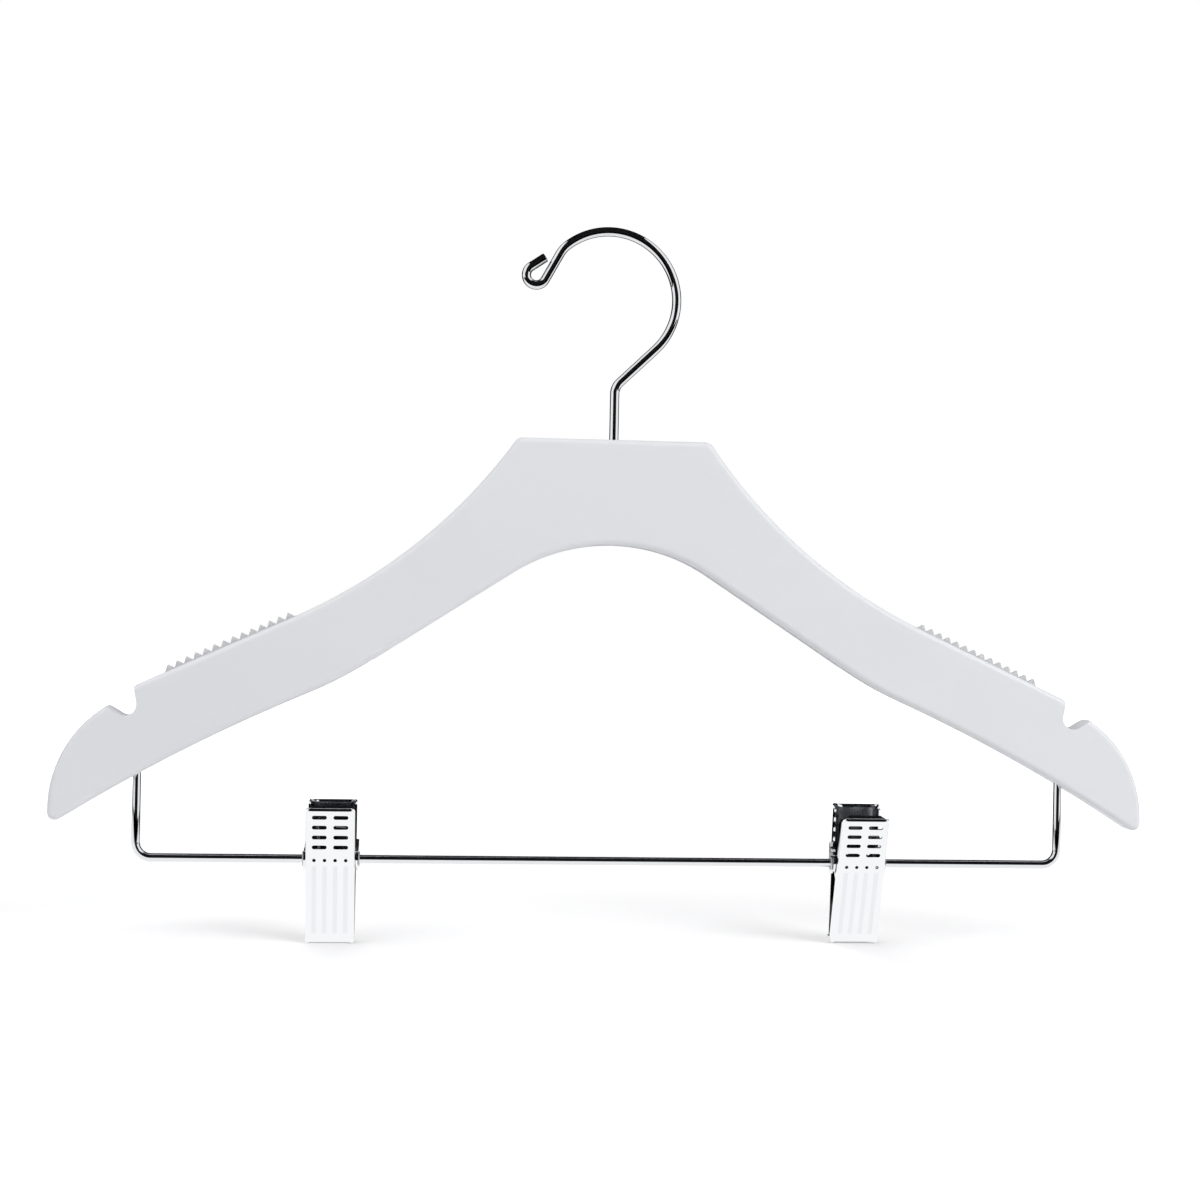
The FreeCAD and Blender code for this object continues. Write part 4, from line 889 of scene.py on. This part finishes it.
for side in clip_leans:
    spring = seat_copy(coil, side + "_coil_spring", clip_seats[side, "front"])
    spring.data.materials.clear()
    spring.data.materials.append(shaded_spring_steel)
    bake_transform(spring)
    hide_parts(side + "_clip_spring")
bpy.data.objects.remove(coil)


# Studio: a white table and room under soft boxes. A black cloth hangs over the table from front
# to back, wider behind, and only mirrors see it. The camera stands a little left of the middle.
def ray_kinds(signal):
    """Signals that are 1 on rays from the camera, on mirrored rays and on rays through glass."""
    outputs = signal.node("ShaderNodeLightPath").socket.node.outputs
    names = ("Is Camera Ray", "Is Glossy Ray", "Is Transmission Ray")
    return [Signal(signal.tree, outputs[name]) for name in names]


floor_gap = 0.0002
table_size = 8.0
paper_near = 0.2
paper_far = 0.34
paper_glow = 0.21
far_glow = 0.8
far_start = 0.3
far_line = 1.0
floor_level = cad_box[0].z - floor_gap
bpy.ops.object.select_all(action="DESELECT")
bpy.ops.mesh.primitive_plane_add(size=table_size, location=(0, 0, floor_level))
table = bpy.context.object
table.name = "white_table"
paper, place = new_finish("white_paper")
camera_ray, mirror_ray, glass_ray = ray_kinds(place)
matt = place.node("ShaderNodeBsdfDiffuse", None, {"Color": (0.82, 0.82, 0.83, 1)})
depth = abs(place.node("ShaderNodeSeparateXYZ", None, {"Vector": place}, output="Y"))
distance = place.node("ShaderNodeVectorMath", {"operation": "LENGTH"}, {0: place}, output="Value")
lift = (paper_glow + far_glow * distance.ramp(far_start, far_line)) * (camera_ray + glass_ray)
glow = place.node("ShaderNodeEmission", None, {"Color": (1, 1, 1, 1), "Strength": lift})
seen = place.node("ShaderNodeAddShader", None, {0: matt, 1: glow})
white = depth.ramp(paper_far, paper_near)
mirrored = place.node("ShaderNodeEmission", None, {"Color": (1, 1, 1, 1), "Strength": white})
both = place.node("ShaderNodeMixShader", None, {0: mirror_ray, 1: seen, 2: mirrored})
place.node("ShaderNodeOutputMaterial", None, {"Surface": both})
table.data.materials.append(paper)

cloth_radius = 2.0
cloth_width = 3.4
cloth_spread = 3.6
cloth_waist = 0.6
cloth_back = cloth_radius / 2
cloth_roof = cloth_radius / 3
bpy.ops.object.select_all(action="DESELECT")
bpy.ops.mesh.primitive_cylinder_add(
    vertices=96,
    radius=cloth_radius,
    depth=cloth_width,
    end_fill_type="NOTHING",
    location=(middle, 0, top_face),
    rotation=(0, math.pi / 2, 0),
)
cloth = bpy.context.object
cloth.name = "black_cloth"
bpy.ops.object.transform_apply(location=True, rotation=True)
bpy.ops.object.mode_set(mode="EDIT")
bpy.ops.mesh.select_all(action="SELECT")
bpy.ops.mesh.bisect(plane_co=(0, 0, floor_level), plane_no=(0, 0, 1), clear_inner=True)
pick(lambda spot: spot.y > cloth_back)
bpy.ops.transform.resize(value=(cloth_spread, 1, 1), center_override=(middle, 0, 0))
pick(lambda spot: spot.z > cloth_roof and spot.y < cloth_back)
bpy.ops.transform.resize(value=(cloth_waist, 1, 1), center_override=(middle, 0, 0))
bpy.ops.object.mode_set(mode="OBJECT")
black, place = new_finish("black_cloth")
weave = place.node("ShaderNodeBsdfDiffuse", None, {"Color": (0.012, 0.012, 0.013, 1)})
place.node("ShaderNodeOutputMaterial", None, {"Surface": weave})
cloth.data.materials.append(black)
cloth.visible_camera = False
cloth.visible_diffuse = False
cloth.visible_shadow = False
cloth.visible_transmission = False

world = bpy.data.worlds.new("white_room")
world.use_nodes = True
world.node_tree.nodes.clear()
bpy.context.scene.world = world
room = Signal(world.node_tree)
ambient = 0.36
camera_ray, mirror_ray, glass_ray = ray_kinds(room)
strength = ambient + (1 - ambient) * (camera_ray + mirror_ray + glass_ray)
backdrop = room.node("ShaderNodeBackground", None, {"Color": (1, 1, 1, 1), "Strength": strength})
room.node("ShaderNodeOutputWorld", None, {"Surface": backdrop})

lamp_target = Vector((middle, 0, -0.15))
for name, spot, size, watts in (
    ("right_softbox", (1.2, -1.1, 0.8), 1.0, 18.8),
    ("left_softbox", (-1.5, -1.3, 0.9), 1.2, 2.0),
    ("top_softbox", (-0.8, -0.35, 1.4), 1.6, 15.0),
    ("back_softbox", (-0.4, 1.7, 0.9), 1.4, 11.0),
):
    lamp = bpy.data.lights.new(name, "AREA")
    lamp.energy = watts
    lamp.size = size
    holder = bpy.data.objects.new(name, lamp)
    bpy.context.scene.collection.objects.link(holder)
    holder.location = spot
    aim = lamp_target - holder.location
    holder.rotation_euler = aim.to_track_quat("-Z", "Y").to_euler()
    holder.visible_glossy = False

camera_left = 0.0664
camera_distance = 0.7357
camera_drop = 0.0705
camera_turns = (90.39, -1.13, -4.827)
lens = bpy.data.cameras.new("photo_camera")
lens.lens = 54.0
lens.sensor_width = 36.0
camera = bpy.data.objects.new("photo_camera", lens)
bpy.context.scene.collection.objects.link(camera)
camera.location = (middle - camera_left, -camera_distance, top_face - camera_drop)
camera.rotation_euler = [math.radians(turn) for turn in camera_turns]
bpy.context.scene.camera = camera
bpy.context.scene.view_settings.view_transform = "Standard"
